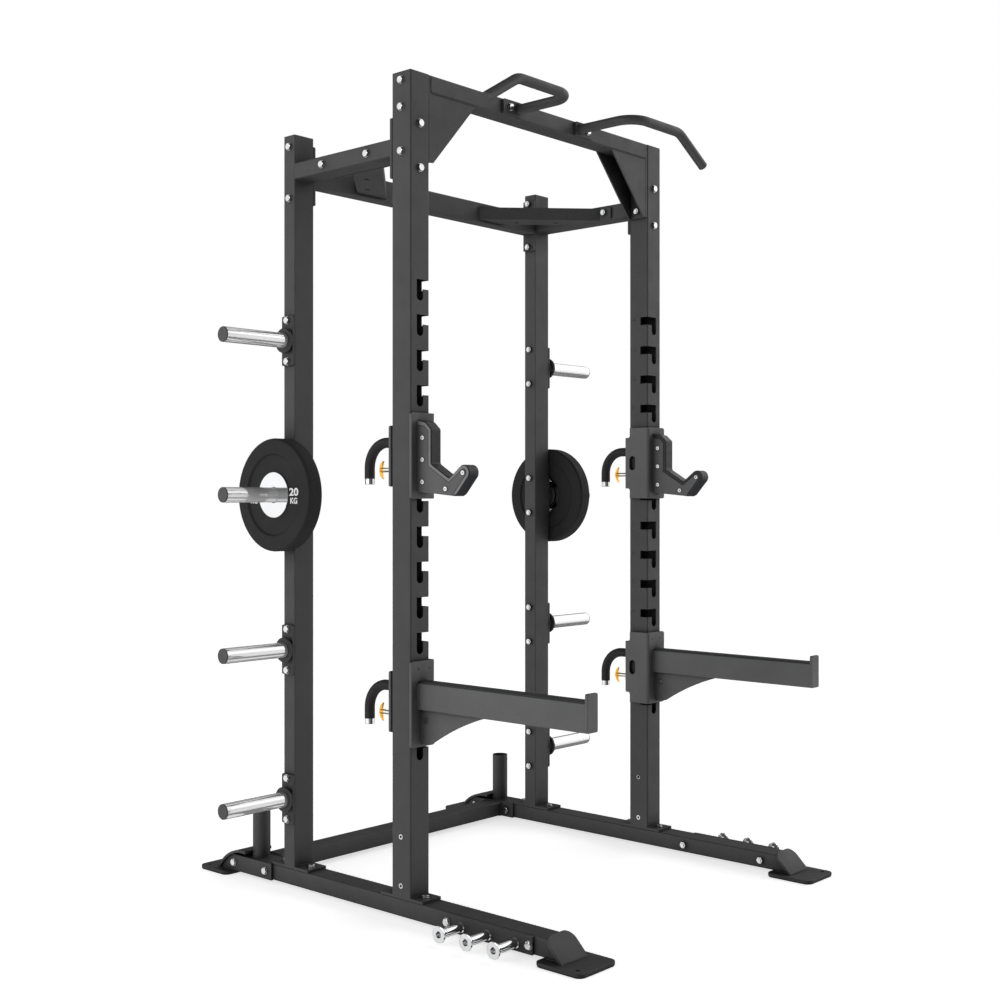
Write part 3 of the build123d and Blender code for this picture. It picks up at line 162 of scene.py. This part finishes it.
def powder(name, base, rough, spec=0.5, fleck=1.0, edge=0.35, nook_shade=0.45, reach=0.05):
    g = G(name)
    big = g.noise(5.0, 4)
    fine = g.noise(700.0, 2)
    peel = g.noise(260.0, 2)
    dark = tuple(c * 0.90 for c in base)
    light = tuple(c * 1.12 for c in base)
    col = g.ramp(big, [(0.30, dark), (0.70, light)])
    spk = g.ramp(fine, [(0.42, 0.86), (0.66, 1.0 + 0.16 * fleck)])
    col = g.mix(1.0, col, spk, "MULTIPLY")
    # lighter edges: partly edge wear (broken by noise, with lower roughness), partly a painted highlight where rounded
    # edges catch light
    em, bn = g.edge(0.0016)
    edge_wear_and_highlight = g.math("MULTIPLY", em, g.map(g.noise(60.0, 4), 0.35, 0.75, 0.25, 1.0))
    col = g.mix(g.math("MULTIPLY", edge_wear_and_highlight, edge), col, tuple(min(1, c * 3.2) for c in base))
    # painted shade: base colour darkened in nooks, inside corners and between parts by ambient occlusion
    ao = g.occlusion(reach)
    col = g.mix(1.0, col, g.ramp(ao, [(0.35, nook_shade), (0.95, 1.0)]), "MULTIPLY")
    g.plug("Base Color", col)
    g.set(Specular_IOR_Level=spec)
    r = g.map(g.noise(18.0, 4), 0.3, 0.7, rough - 0.05, rough + 0.06)
    r = g.math("ADD", r, g.map(ao, 0.35, 0.95, 0.22, 0.0))
    g.plug("Roughness", g.math("SUBTRACT", r, g.math("MULTIPLY", edge_wear_and_highlight, 0.06)))
    h = g.math("ADD", g.math("MULTIPLY", peel, 0.6), g.math("MULTIPLY", fine, 0.4))
    g.plug("Normal", g.bump(h, 0.22, 0.0004, bn))
    return g.mat


def chrome(name, rough=0.05, tint=(0.86, 0.865, 0.875), brushed=None, metal=1.0):
    g = G(name)
    sm = g.noise(9.0, 5)
    g.plug("Base Color", g.ramp(sm, [(0.3, tuple(c * 0.94 for c in tint)), (0.7, tint)]))
    g.set(Metallic=metal)
    st = brushed or (1.0, 1.0, 1.0)
    scr = g.noise(420.0, 3, stretch=st)
    r = g.map(g.noise(30.0, 5), 0.35, 0.7, rough * 0.7, rough * 1.6)
    g.plug("Roughness", g.math("ADD", r, g.map(scr, 0.55, 0.8, 0.0, 0.05)))
    g.plug("Normal", g.bump(scr, 0.06, 0.0001))
    return g.mat


def zinc(name):
    g = G(name)
    sp = g.voronoi(260.0)
    col = g.ramp(g.noise(70.0, 4), [(0.3, (0.62, 0.63, 0.65)), (0.7, (0.80, 0.80, 0.81))])
    em, bn = g.edge(0.0007)
    # painted highlight: base colour lightened along edges
    col = g.mix(g.math("MULTIPLY", em, 0.5), col, (0.9, 0.9, 0.9))
    # painted shade: base colour darkened under heads and in gaps by ambient occlusion
    ao = g.occlusion(0.006)
    g.plug("Base Color", g.mix(1.0, col, g.ramp(ao, [(0.40, 0.10), (0.85, 1.0)]), "MULTIPLY"))
    g.set(Metallic=1.0)
    g.plug("Roughness", g.map(g.noise(90.0, 3), 0.3, 0.7, 0.08, 0.17))
    g.plug("Normal", g.bump(sp, 0.05, 0.0002, bn))
    return g.mat


def rubber(name, base, rough=0.72, grain=420.0, strength=0.35, speck=0.0, nook_shade=None):
    g = G(name)
    n1 = g.noise(grain, 3, 0.6)
    n2 = g.noise(22.0, 4)
    col = g.ramp(n2, [(0.3, tuple(c * 0.85 for c in base)), (0.7, tuple(c * 1.2 for c in base))])
    if speck:
        v = g.voronoi(150.0)
        col = g.mix(g.math("MULTIPLY", g.map(v, 0.0, 0.22, 1.0, 0.0), speck), col, tuple(c * 2.6 for c in base))
    em, bn = g.edge(0.002)
    # painted highlight: base colour lightened along edges
    col = g.mix(g.math("MULTIPLY", em, 0.25), col, tuple(min(1, c * 2.6) for c in base))
    # painted shade: base colour darkened in recesses and corners by ambient occlusion
    if nook_shade:
        col = g.mix(1.0, col, g.ramp(g.occlusion(nook_shade), [(0.45, 0.10), (0.92, 1.0)]), "MULTIPLY")
    g.plug("Base Color", col)
    g.plug("Roughness", g.map(n2, 0.3, 0.7, rough - 0.07, rough + 0.07))
    g.plug("Normal", g.bump(n1, strength, 0.0006, bn))
    g.set(Specular_IOR_Level=0.28)
    return g.mat


def plastic(name, base, rough=0.5, grain=520.0, strength=0.15, machined=None, spec=0.5):
    g = G(name)
    n2 = g.noise(14.0, 4)
    col = g.ramp(n2, [(0.3, tuple(c * 0.9 for c in base)), (0.7, tuple(c * 1.12 for c in base))])
    em, bn = g.edge(0.0014)
    # painted highlight: base colour lightened along edges
    col = g.mix(g.math("MULTIPLY", em, 0.22), col, tuple(min(1, c * 2.6) for c in base))
    g.plug("Base Color", col)
    g.plug("Roughness", g.map(g.noise(40.0, 4), 0.3, 0.7, rough - 0.06, rough + 0.06))
    h = g.noise(grain, 2, stretch=machined) if machined else g.noise(grain, 2)
    g.plug("Normal", g.bump(h, strength, 0.0004, bn))
    g.set(Specular_IOR_Level=spec)
    return g.mat


def gold(name):
    g = G(name)
    n2 = g.noise(45.0, 4)
    g.plug("Base Color", g.ramp(n2, [(0.3, (0.88, 0.42, 0.045)), (0.7, (0.98, 0.54, 0.085))]))
    em, bn = g.edge(0.0008)
    g.set(Metallic=0.85)
    g.plug("Roughness", g.map(g.noise(160.0, 3), 0.3, 0.7, 0.22, 0.36))
    g.plug("Normal", g.bump(g.noise(500.0, 2), 0.08, 0.0002, bn))
    return g.mat


M = {
    "frame": powder("frame_powder", (0.0430, 0.0432, 0.0438), 0.50, spec=0.40, nook_shade=0.16, reach=0.08),
    "carriage": powder("carriage_powder", (0.082, 0.0825, 0.0840), 0.46, spec=0.42, nook_shade=0.22, reach=0.07),
    "chrome": chrome("horn_chrome", 0.065, (0.95, 0.95, 0.955), brushed=(0.06, 1.0, 1.0), metal=0.72),
    "mirror": chrome("hub_chrome", 0.035),
    "fit": chrome("fitting_chrome", 0.07),
    "zinc": zinc("bolt_zinc"),
    "pad": rubber("foot_rubber", (0.012, 0.012, 0.012)),
    "plate": rubber("plate_rubber", (0.0138, 0.0138, 0.0141), 0.70, 300.0, 0.30, speck=0.10, nook_shade=0.012),
    "grip": rubber("grip_rubber", (0.016, 0.016, 0.0165), 0.60, 520.0, 0.30),
    "cap": plastic("cap_plastic", (0.045, 0.045, 0.047), 0.46),
    "liner": plastic("liner_plastic", (0.0125, 0.0132, 0.0155), 0.40, 600.0, 0.16, spec=0.34),
    "liner_lit_flank": plastic("liner_lit_flank", (0.142, 0.143, 0.147), 0.38, 600.0, 0.10),
    "gold": gold("knob_gold"),
}


def dress(node, key):
    o = N[node]
    o.data.materials.clear()
    o.data.materials.append(M[key])


LOOK = {"foot_pads": "pad", "tube_caps": "cap", "horn_caps": "cap", "weight_horns": "chrome", "band_pegs": "fit",
        "thread_inserts": "zinc", "hex_bolts": "zinc", "hex_nuts": "zinc"}
for n in N:
    key = LOOK.get(n)
    if key is None:
        if n.startswith("weight_plate"):
            key = "plate"
        elif n.startswith("plate_hub"):
            key = "mirror"
        elif "_carriage_" in n:
            key = "carriage"
        elif "_liner_" in n or "_pad_" in n:
            key = "liner"
        elif "_grip_" in n:
            key = "grip"
        elif "_fittings_" in n or "_pin_" in n:
            key = "fit"
        elif "_knob_" in n:
            key = "gold"
        else:
            key = "frame"
    dress(n, key)

# the sideways-facing outer flanks of the hooks get a lighter copy of the liner plastic: a painted sheen for the light
# they catch from the side
for side in ("left", "right"):
    me = N["jhook_liner_" + side].data
    me.materials.append(M["liner_lit_flank"])
    for p in me.polygons:
        if abs(p.normal.x) > 0.98 and p.center.y < Y(-12) and abs(p.center.x) > 0.57:
            p.material_index = 1

# a paler, less metallic copy of the horn chrome on the two loaded horns: painted light that hides their dark
# reflection of the plates
M["satin"] = chrome("horn_satin", 0.07, (0.90, 0.90, 0.905), brushed=(0.06, 1.0, 1.0), metal=0.50)
me = N["weight_horns"].data
me.materials.append(M["satin"])
for p in me.polygons:
    if abs(p.center.z - 1.198) < 0.05:
        p.material_index = 1


# satin screw heads on the hooks
def screw(name):
    g = G(name)
    col = g.ramp(g.noise(120.0, 4), [(0.3, (0.80, 0.80, 0.81)), (0.7, (0.92, 0.92, 0.925))])
    em, bn = g.edge(0.0005)
    # painted shade: base colour darkened in the hex socket and under the head by ambient occlusion
    col = g.mix(1.0, col, g.ramp(g.occlusion(0.0035), [(0.30, 0.03), (0.80, 1.0)]), "MULTIPLY")
    # painted highlight: base colour lightened along edges
    g.plug("Base Color", g.mix(g.math("MULTIPLY", em, 0.3), col, (0.95, 0.95, 0.95)))
    g.set(Metallic=0.5)
    g.plug("Roughness", g.map(g.noise(200.0, 3), 0.3, 0.7, 0.18, 0.30))
    g.plug("Normal", g.bump(g.noise(800.0, 2), 0.05, 0.0002, bn))
    return g.mat


M["screw"] = screw("screw_satin")
for side in ("left", "right"):
    me = N["jhook_fittings_" + side].data
    me.materials.append(M["screw"])
    for p in me.polygons:
        if p.center.y < Y(-15):
            p.material_index = 1

# the bright neck of each wing knob
for kind in ("jhook", "safety"):
    for side in ("left", "right"):
        me = N[kind + "_knob_" + side].data
        me.materials.append(M["fit"])
        for p in me.polygons:
            if p.center.y < Y(142):
                p.material_index = 1

# ------------------------------------------------------------------ new pieces
rng = random.Random(7)


def add_mesh(name, verts, faces, mat, body, smooth=True, sharp=None):
    me = bpy.data.meshes.new(name)
    me.from_pydata([tuple(v) for v in verts], [], faces)
    me.validate()
    me.update()
    if smooth:
        me.shade_smooth()
    if sharp is not None:
        me.set_sharp_from_angle(angle=math.radians(sharp))
    me.materials.append(mat)
    o = bpy.data.objects.new(name, me)
    scene.collection.objects.link(o)
    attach(o, body)
    return o


def along(points, closed, step):
    """Evenly spaced points on a polyline, with unit tangents."""
    P = [Vector(p) for p in points]
    if closed:
        P.append(P[0])
    seg = [(P[i], P[i + 1], (P[i + 1] - P[i]).length) for i in range(len(P) - 1)]
    total = sum(s[2] for s in seg)
    n = max(4, int(round(total / step)))
    out = []
    for k in range(n if closed else n + 1):
        d = total * k / n
        for a, b, l in seg:
            if d <= l + 1e-9:
                out.append((a + (b - a) * (d / l if l else 0), (b - a).normalized()))
                break
            d -= l
    return out


def bead(bag, points, r, closed=False, pitch=2.6, sides=7):
    """One run of weld bead: a rippled rope laid into a corner. Millimetres, y from the front uprights."""
    step = pitch / 3.0
    pts = [(x, Y(y) * 1000.0, z) for x, y, z in points]
    run = along(pts, closed, step)
    V, F = bag
    base = len(V)
    n = len(run)
    prev = None
    for k, (p, t) in enumerate(run):
        if prev is None:
            up = Vector((0, 0, 1)) if abs(t.z) < 0.9 else Vector((1, 0, 0))
            u = (up - t * up.dot(t)).normalized()
        else:
            u = (prev - t * prev.dot(t)).normalized()
        prev = u
        w = t.cross(u)
        ripple = 0.88 + 0.12 * math.cos(2 * math.pi * (k % 3) / 3.0) + rng.uniform(-0.02, 0.02)
        if not closed:
            e = min(k, n - 1 - k) / 3.0
            ripple *= min(1.0, 0.25 + 0.75 * e)
        for j in range(sides):
            a = 2 * math.pi * j / sides
            q = p + (u * math.cos(a) + w * math.sin(a)) * (r * ripple)
            V.append(q / 1000.0)
    for k in range(n if closed else n - 1):
        k2 = (k + 1) % n
        for j in range(sides):
            j2 = (j + 1) % sides
            F.append((base + k * sides + j, base + k * sides + j2, base + k2 * sides + j2, base + k2 * sides + j))
    if not closed:
        F.append(tuple(base + j for j in reversed(range(sides))))
        F.append(tuple(base + (n - 1) * sides + j for j in range(sides)))


def ring_pts(cx, cy, cz, r, axis, n=48):
    out = []
    for k in range(n):
        a = 2 * math.pi * k / n
        c, s = r * math.cos(a), r * math.sin(a)
        out.append({"x": (cx, cy + c, cz + s), "y": (cx + c, cy, cz + s), "z": (cx + c, cy + s, cz)}[axis])
    return out


def rect_x(x, y0, y1, z0, z1, r=5.0):
    """Rounded loop in a plane of constant x."""
    out = []
    for cy, cz, a0 in ((y1 - r, z1 - r, 0), (y0 + r, z1 - r, 90), (y0 + r, z0 + r, 180), (y1 - r, z0 + r, 270)):
        for k in range(5):
            a = math.radians(a0 + 22.5 * k)
            out.append((x, cy + r * math.cos(a), cz + r * math.sin(a)))
    return out


# welds of the frame
up, top, base_w = ([], []), ([], []), ([], [])
for s in (-1, 1):
    for y in (0.0, 75.0, 500.0, 550.0):
        bead(up, [(s * 528.5, y, 70.2), (s * 596.5, y, 70.2)], 3.2)
    # front beam, gussets, end plates
    bead(top, [(s * 517, 70.2, 2343), (s * 517, 70.2, 2384)], 2.6)
    bead(top, [(s * 517, 68.2, 2144), (s * 517, 68.2, 2336)], 2.6)
    for y in (2.0, 68.0):
        bead(top, [(s * 332, y, 2337.8), (s * 516, y, 2337.8)], 1.9)
    # rear beam, side beam
    for z in (2145.0, 2215.0):
        bead(top, [(s * 517, 505, z), (s * 517, 545, z)], 3.0)
    for z in (2155.0, 2205.0):
        bead(top, [(s * 531, 83, z), (s * 594, 83, z)], 3.0)
        bead(top, [(s * 531, 500, z), (s * 594, 500, z)], 3.0)
    bead(top, [(s * 238, 493, 2163), (s * 515, 216, 2163)], 2.2)
    bead(top, ring_pts(s * 150, -8.0, 2364, 15.0, "y"), 2.6, True)
    # front foot: rail on the plate, slanted plate on rail and plate
    for x in (525.0, 600.0):
        bead(base_w, [(s * x, -545, 12), (s * x, -487, 12)], 3.0)
        bead(base_w, [(s * x, -546, 14.5), (s * x, -501.5, 59)], 2.4)
    bead(base_w, [(s * 514, -560.2, 12), (s * 611, -560.2, 12)], 2.8)
    bead(base_w, [(s * 531, -498.7, 62.2), (s * 594, -498.7, 62.2)], 2.8)
    # rear foot, bar holder, cross rail
    for x in (517.0, 608.0):
        bead(base_w, [(s * x, 790, 12), (s * x, 846, 12)], 2.6)
    bead(base_w, ring_pts(s * 562.5, 705.0, 62.2, 27.5, "z"), 3.0, True)
    bead(base_w, rect_x(s * 517, 660, 735, 12, 62), 3.0, True)
    for hz in (1666.0, 1198.0, 728.0, 275.0):
        bead(up, ring_pts(s * 608.2, 525.0, hz, 26.5, "x"), 2.0, True)
add_mesh("welds_uprights", up[0], up[1], M["frame"], "frame")
add_mesh("welds_top", top[0], top[1], M["frame"], "frame")
add_mesh("welds_base", base_w[0], base_w[1], M["frame"], "frame")

# welds of the carriages
for s, side in ((-1, "left"), (1, "right")):
    j, a = ([], []), ([], [])
    for x in (542.6, 582.4):
        bead(j, [(s * x, -11.5, 1209), (s * x, -11.5, 1390)], 1.3)
    bead(a, [(s * 542.3, -11.6, 601), (s * 542.3, -11.6, 668)], 2.6)
    bead(a, [(s * 582.7, -11.6, 601), (s * 582.7, -11.6, 668)], 2.6)
    for x in (558.5, 566.5):
        bead(a, [(s * x, -240, 596.8), (s * x, -16, 596.8)], 2.2)
        bead(a, [(s * x, -11.6, 501), (s * x, -11.6, 592)], 2.2)
    bead(a, [(s * 542.4, -607.4, 669), (s * 542.4, -607.4, 600)], 1.6)
    bead(a, [(s * 582.6, -607.4, 669), (s * 582.6, -607.4, 600)], 1.6)
    add_mesh("welds_jhook_" + side, j[0], j[1], M["carriage"], "jhook_" + side)
    add_mesh("welds_safety_" + side, a[0], a[1], M["carriage"], "safety_" + side)


def seam(bag, points, r, sides=6):
    """Thin round line laid half into a face, to draw the joint of two stacked plates."""
    pts = [Vector((x, Y(y) * 1000.0, z)) for x, y, z in points]
    V, F = bag
    base = len(V)
    n = len(pts)
    for k, p in enumerate(pts):
        t = (pts[min(k + 1, n - 1)] - pts[max(k - 1, 0)]).normalized()
        u = Vector((1, 0, 0))
        w = t.cross(u).normalized()
        for j in range(sides):
            a = 2 * math.pi * j / sides
            V.append((p + (u * math.cos(a) + w * math.sin(a)) * r) / 1000.0)
    for k in range(n - 1):
        for j in range(sides):
            j2 = (j + 1) % sides
            F.append((base + k * sides + j, base + k * sides + j2, base + (k + 1) * sides + j2, base + (k + 1) * sides + j))
    F.append(tuple(base + j for j in reversed(range(sides))))
    F.append(tuple(base + (n - 1) * sides + j for j in range(sides)))


M["joint"] = rubber("joint_shadow", (0.006, 0.006, 0.006), 0.8)
for s, side in ((-1, "left"), (1, "right")):
    bag = ([], [])
    back = [(-13.5, 1393.0), (-36.5, 1389.0), (-52.0, 1375.5), (-52.0, 1277.5), (-131.0, 1231.3)]
    nose = []
    for k in range(9):
        a = math.radians(51.7 + (218.3 - 51.7) * k / 8.0)
        nose.append((-186.5 + 10.0 * math.cos(a), 1258.0 + 10.0 * math.sin(a)))
    back = back + nose + [(-154.5, 1206.5), (-147.5, 1195.5)]
    for x in (542.5, 582.5):
        seam(bag, [(s * x, y, z) for y, z in back], 0.7)
    add_mesh("cheek_joint_" + side, bag[0], bag[1], M["joint"], "jhook_" + side)


# ------------------------------------------------------------------ lettering
def lettering(name, items, thick, mat, body):
    """items: text, height of capitals, origin, x axis, y axis (metres), weight, width. One mesh, thin raised print."""
    V, F = [], []
    for text, cap, org, ax, ay, bold, wide in items:
        cu = bpy.data.curves.new(name + "_c", "FONT")
        cu.body = text
        cu.align_x = "CENTER"
        cu.size = 1.0
        cu.offset = bold
        cu.resolution_u = 6
        tmp = bpy.data.objects.new(name + "_t", cu)
        scene.collection.objects.link(tmp)
        dg = bpy.context.evaluated_depsgraph_get()
        me = bpy.data.meshes.new_from_object(tmp.evaluated_get(dg))
        ys = [v.co.y for v in me.vertices]
        xs = [v.co.x for v in me.vertices]
        k = cap / (max(ys) - min(ys))
        cx, y0 = (max(xs) + min(xs)) / 2, min(ys)
        ax, ay = Vector(ax), Vector(ay)
        nz = ax.cross(ay)
        bm = bmesh.new()
        bm.from_mesh(me)
        bmesh.ops.remove_doubles(bm, verts=bm.verts, dist=1e-5)
        ret = bmesh.ops.extrude_face_region(bm, geom=list(bm.faces))
        lift = [g_ for g_ in ret["geom"] if isinstance(g_, bmesh.types.BMVert)]
        for v in lift:
            v.co.z += 1.0
        bm.normal_update()
        bmesh.ops.recalc_face_normals(bm, faces=bm.faces)
        b0 = len(V)
        bm.verts.index_update()
        for v in bm.verts:
            V.append(Vector(org) + ax * ((v.co.x - cx) * k * wide) + ay * ((v.co.y - y0) * k) + nz * (v.co.z * thick))
        for f in bm.faces:
            F.append(tuple(b0 + v.index for v in f.verts))
        bm.free()
        bpy.data.objects.remove(tmp)
        bpy.data.curves.remove(cu)
        bpy.data.meshes.remove(me)
    return add_mesh(name, V, F, mat, body, smooth=False)


def ink(name, base, rough):
    g = G(name)
    col = g.ramp(g.noise(160.0, 4), [(0.30, tuple(c * 0.88 for c in base)), (0.62, base)])
    g.plug("Base Color", col)
    g.plug("Roughness", g.map(g.noise(90.0, 3), 0.3, 0.7, rough - 0.08, rough + 0.08))
    g.plug("Normal", g.bump(g.noise(600.0, 2), 0.15, 0.0003))
    return g.mat


M["ink"] = ink("print_white", (0.80, 0.80, 0.79), 0.5)
M["mark"] = ink("print_dark", (0.017, 0.017, 0.018), 0.42)

for s, side in ((-1, "left"), (1, "right")):
    items = []
    for dy in (-92.0, 95.0):
        x = s * 0.6586
        ax = (0, s, 0)
        items.append(("20", 0.0236, (x, Y(525 + dy), 1.198 - 0.003), ax, (0, 0, 1), 0.026, 1.34))
        items.append(("KG", 0.0182, (x, Y(525 + dy), 1.198 - 0.0264), ax, (0, 0, 1), 0.024, 1.02))
    lettering("plate_print_" + side, items, 0.0006, M["ink"], "plate_" + side)
    marks = []
    for i in range(14):
        zt = (1804.0 - 99.4 * i) / 1000.0
        marks.append((str(14 - i), 0.017, (s * 0.525, Y(59), zt - 0.016), (0, -s, 0), (0, 0, 1), 0.006, 1.0))
    lettering("slot_numbers_" + side, marks, 0.00025, M["mark"], "frame")

# ---------------------------------------------------------------- stage, light
fl = bpy.data.meshes.new("floor")
fl.from_pydata([(-40, -40, 0), (40, -40, 0), (40, 40, 0), (-40, 40, 0)], [], [(0, 1, 2, 3)])
floor = bpy.data.objects.new("floor", fl)
scene.collection.objects.link(floor)
g = G("floor_pale")
tone = g.ramp(g.noise(0.6, 3), [(0.3, (0.92, 0.92, 0.92)), (0.7, (0.95, 0.95, 0.95))])
g.plug("Base Color", tone)
g.plug("Emission Color", tone)
g.set(Roughness=0.9, Specular_IOR_Level=0.1, Emission_Strength=0.70)
fl.materials.append(g.mat)
floor.location.z = -0.0005
floor.visible_glossy = False        # the panels below, not the floor, show in the chrome

SKY = {"low": 0.60, "wall": 0.95, "zenith": 0.08, "behind": 0.90, "left": 1.18, "right": 1.20, "patch": 1.05, "front": 0.86}
w = bpy.data.worlds.new("studio")
scene.world = w
w.use_nodes = True
wt = w.node_tree
wt.nodes.clear()
wo = wt.nodes.new("ShaderNodeOutputWorld")
b_cam = wt.nodes.new("ShaderNodeBackground")
b_env = wt.nodes.new("ShaderNodeBackground")
b_cam.inputs["Color"].default_value = (1, 1, 1, 1)
b_cam.inputs["Strength"].default_value = 1.0
lp = wt.nodes.new("ShaderNodeLightPath")
mx = wt.nodes.new("ShaderNodeMixShader")
wt.links.new(lp.outputs["Is Camera Ray"], mx.inputs[0])
wt.links.new(b_env.outputs[0], mx.inputs[1])
wt.links.new(b_cam.outputs[0], mx.inputs[2])
wt.links.new(mx.outputs[0], wo.inputs["Surface"])


def wnode(kind, **kw):
    node = wt.nodes.new(kind)
    for k, v in kw.items():
        setattr(node, k, v)
    return node


def wdot(direction):
    d = wnode("ShaderNodeVectorMath", operation="DOT_PRODUCT")
    d.inputs[1].default_value = direction
    wt.links.new(tcw.outputs["Generated"], d.inputs[0])
    return d.outputs["Value"]


def wmap(val, a, b, c, d):
    m = wnode("ShaderNodeMapRange", interpolation_type="SMOOTHSTEP")
    wt.links.new(val, m.inputs["Value"])
    for k, v in (("From Min", a), ("From Max", b), ("To Min", c), ("To Max", d)):
        m.inputs[k].default_value = v
    return m.outputs["Result"]


def wmath(op, a, b):
    m = wnode("ShaderNodeMath", operation=op)
    for i, v in enumerate((a, b)):
        if isinstance(v, (int, float)):
            m.inputs[i].default_value = v
        else:
            wt.links.new(v, m.inputs[i])
    return m.outputs[0]


tcw = wt.nodes.new("ShaderNodeTexCoord")
zz = wdot((0, 0, 1))
# bright walls, dark below the horizon, dimmer overhead
rise = wmap(zz, -0.40, -0.15, SKY["low"], SKY["wall"])
strip = wmath("MULTIPLY", wmap(zz, -0.72, -0.62, 0.0, 0.96), wmap(zz, -0.50, -0.40, 1.0, 0.0))
rise = wmath("MULTIPLY", rise, wmath("SUBTRACT", 1.0, strip))
over = wmap(zz, 0.28, 0.75, 0.0, SKY["wall"] - SKY["zenith"])
ring = wmath("SUBTRACT", rise, over)
# a dark wall far behind the object, near the horizon
behind = wmath("MULTIPLY", wmap(wdot((0.745, 0.667, 0.0)), 0.45, 0.90, 0.0, 1.0), wmap(zz, 0.32, 0.62, 1.0, 0.0))
ring = wmath("MULTIPLY", ring, wmath("SUBTRACT", 1.0, wmath("MULTIPLY", behind, SKY["behind"])))
# more light from the left than from the right
ring = wmath("MULTIPLY", ring, wmap(wdot(Vector((-1.0, 0.25, 0.15)).normalized()), -0.9, 0.9, SKY["right"], SKY["left"]))
# less light from beside the camera
front = wmap(wdot(Vector((-0.32, -0.94, 0.10)).normalized()), 0.30, 0.92, 0.0, SKY["front"])
ring = wmath("MULTIPLY", ring, wmath("SUBTRACT", 1.0, front))
# a large soft panel high on the right of the camera
panel = wmap(wdot(Vector((0.78, -0.20, 0.59)).normalized()), 0.74, 0.96, 0.0, SKY["patch"])
ring = wmath("ADD", ring, panel)
b_env.inputs["Color"].default_value = (1, 1, 1, 1)
wt.links.new(ring, b_env.inputs["Strength"])


def area(name, loc, target, size, power, color=(1, 1, 1)):
    d = bpy.data.lights.new(name, "AREA")
    d.shape = "RECTANGLE"
    d.size, d.size_y = size
    d.energy = power
    d.color = color
    o = bpy.data.objects.new(name, d)
    scene.collection.objects.link(o)
    o.location = loc
    o.rotation_euler = (Vector(target) - Vector(loc)).to_track_quat("-Z", "Y").to_euler()
    return o


area("key_left", (-4.2, 0.4, 2.0), (0, 0, 1.2), (2.4, 3.2), 36)

# --------------------------------------------------------------------- camera
cam = bpy.data.cameras.new("cam")
cam.sensor_fit = "HORIZONTAL"
cam.sensor_width = 36.0
cam.lens = 50.13
cam.shift_y = -0.00277
cam.clip_end = 200
co = bpy.data.objects.new("cam", cam)
scene.collection.objects.link(co)
co.location = (-3.3291, -2.9232, 1.191)
co.rotation_euler = (math.radians(90), 0, math.radians(-48.165))
scene.camera = co
scene.view_settings.view_transform = "Standard"
scene.view_settings.look = "None"
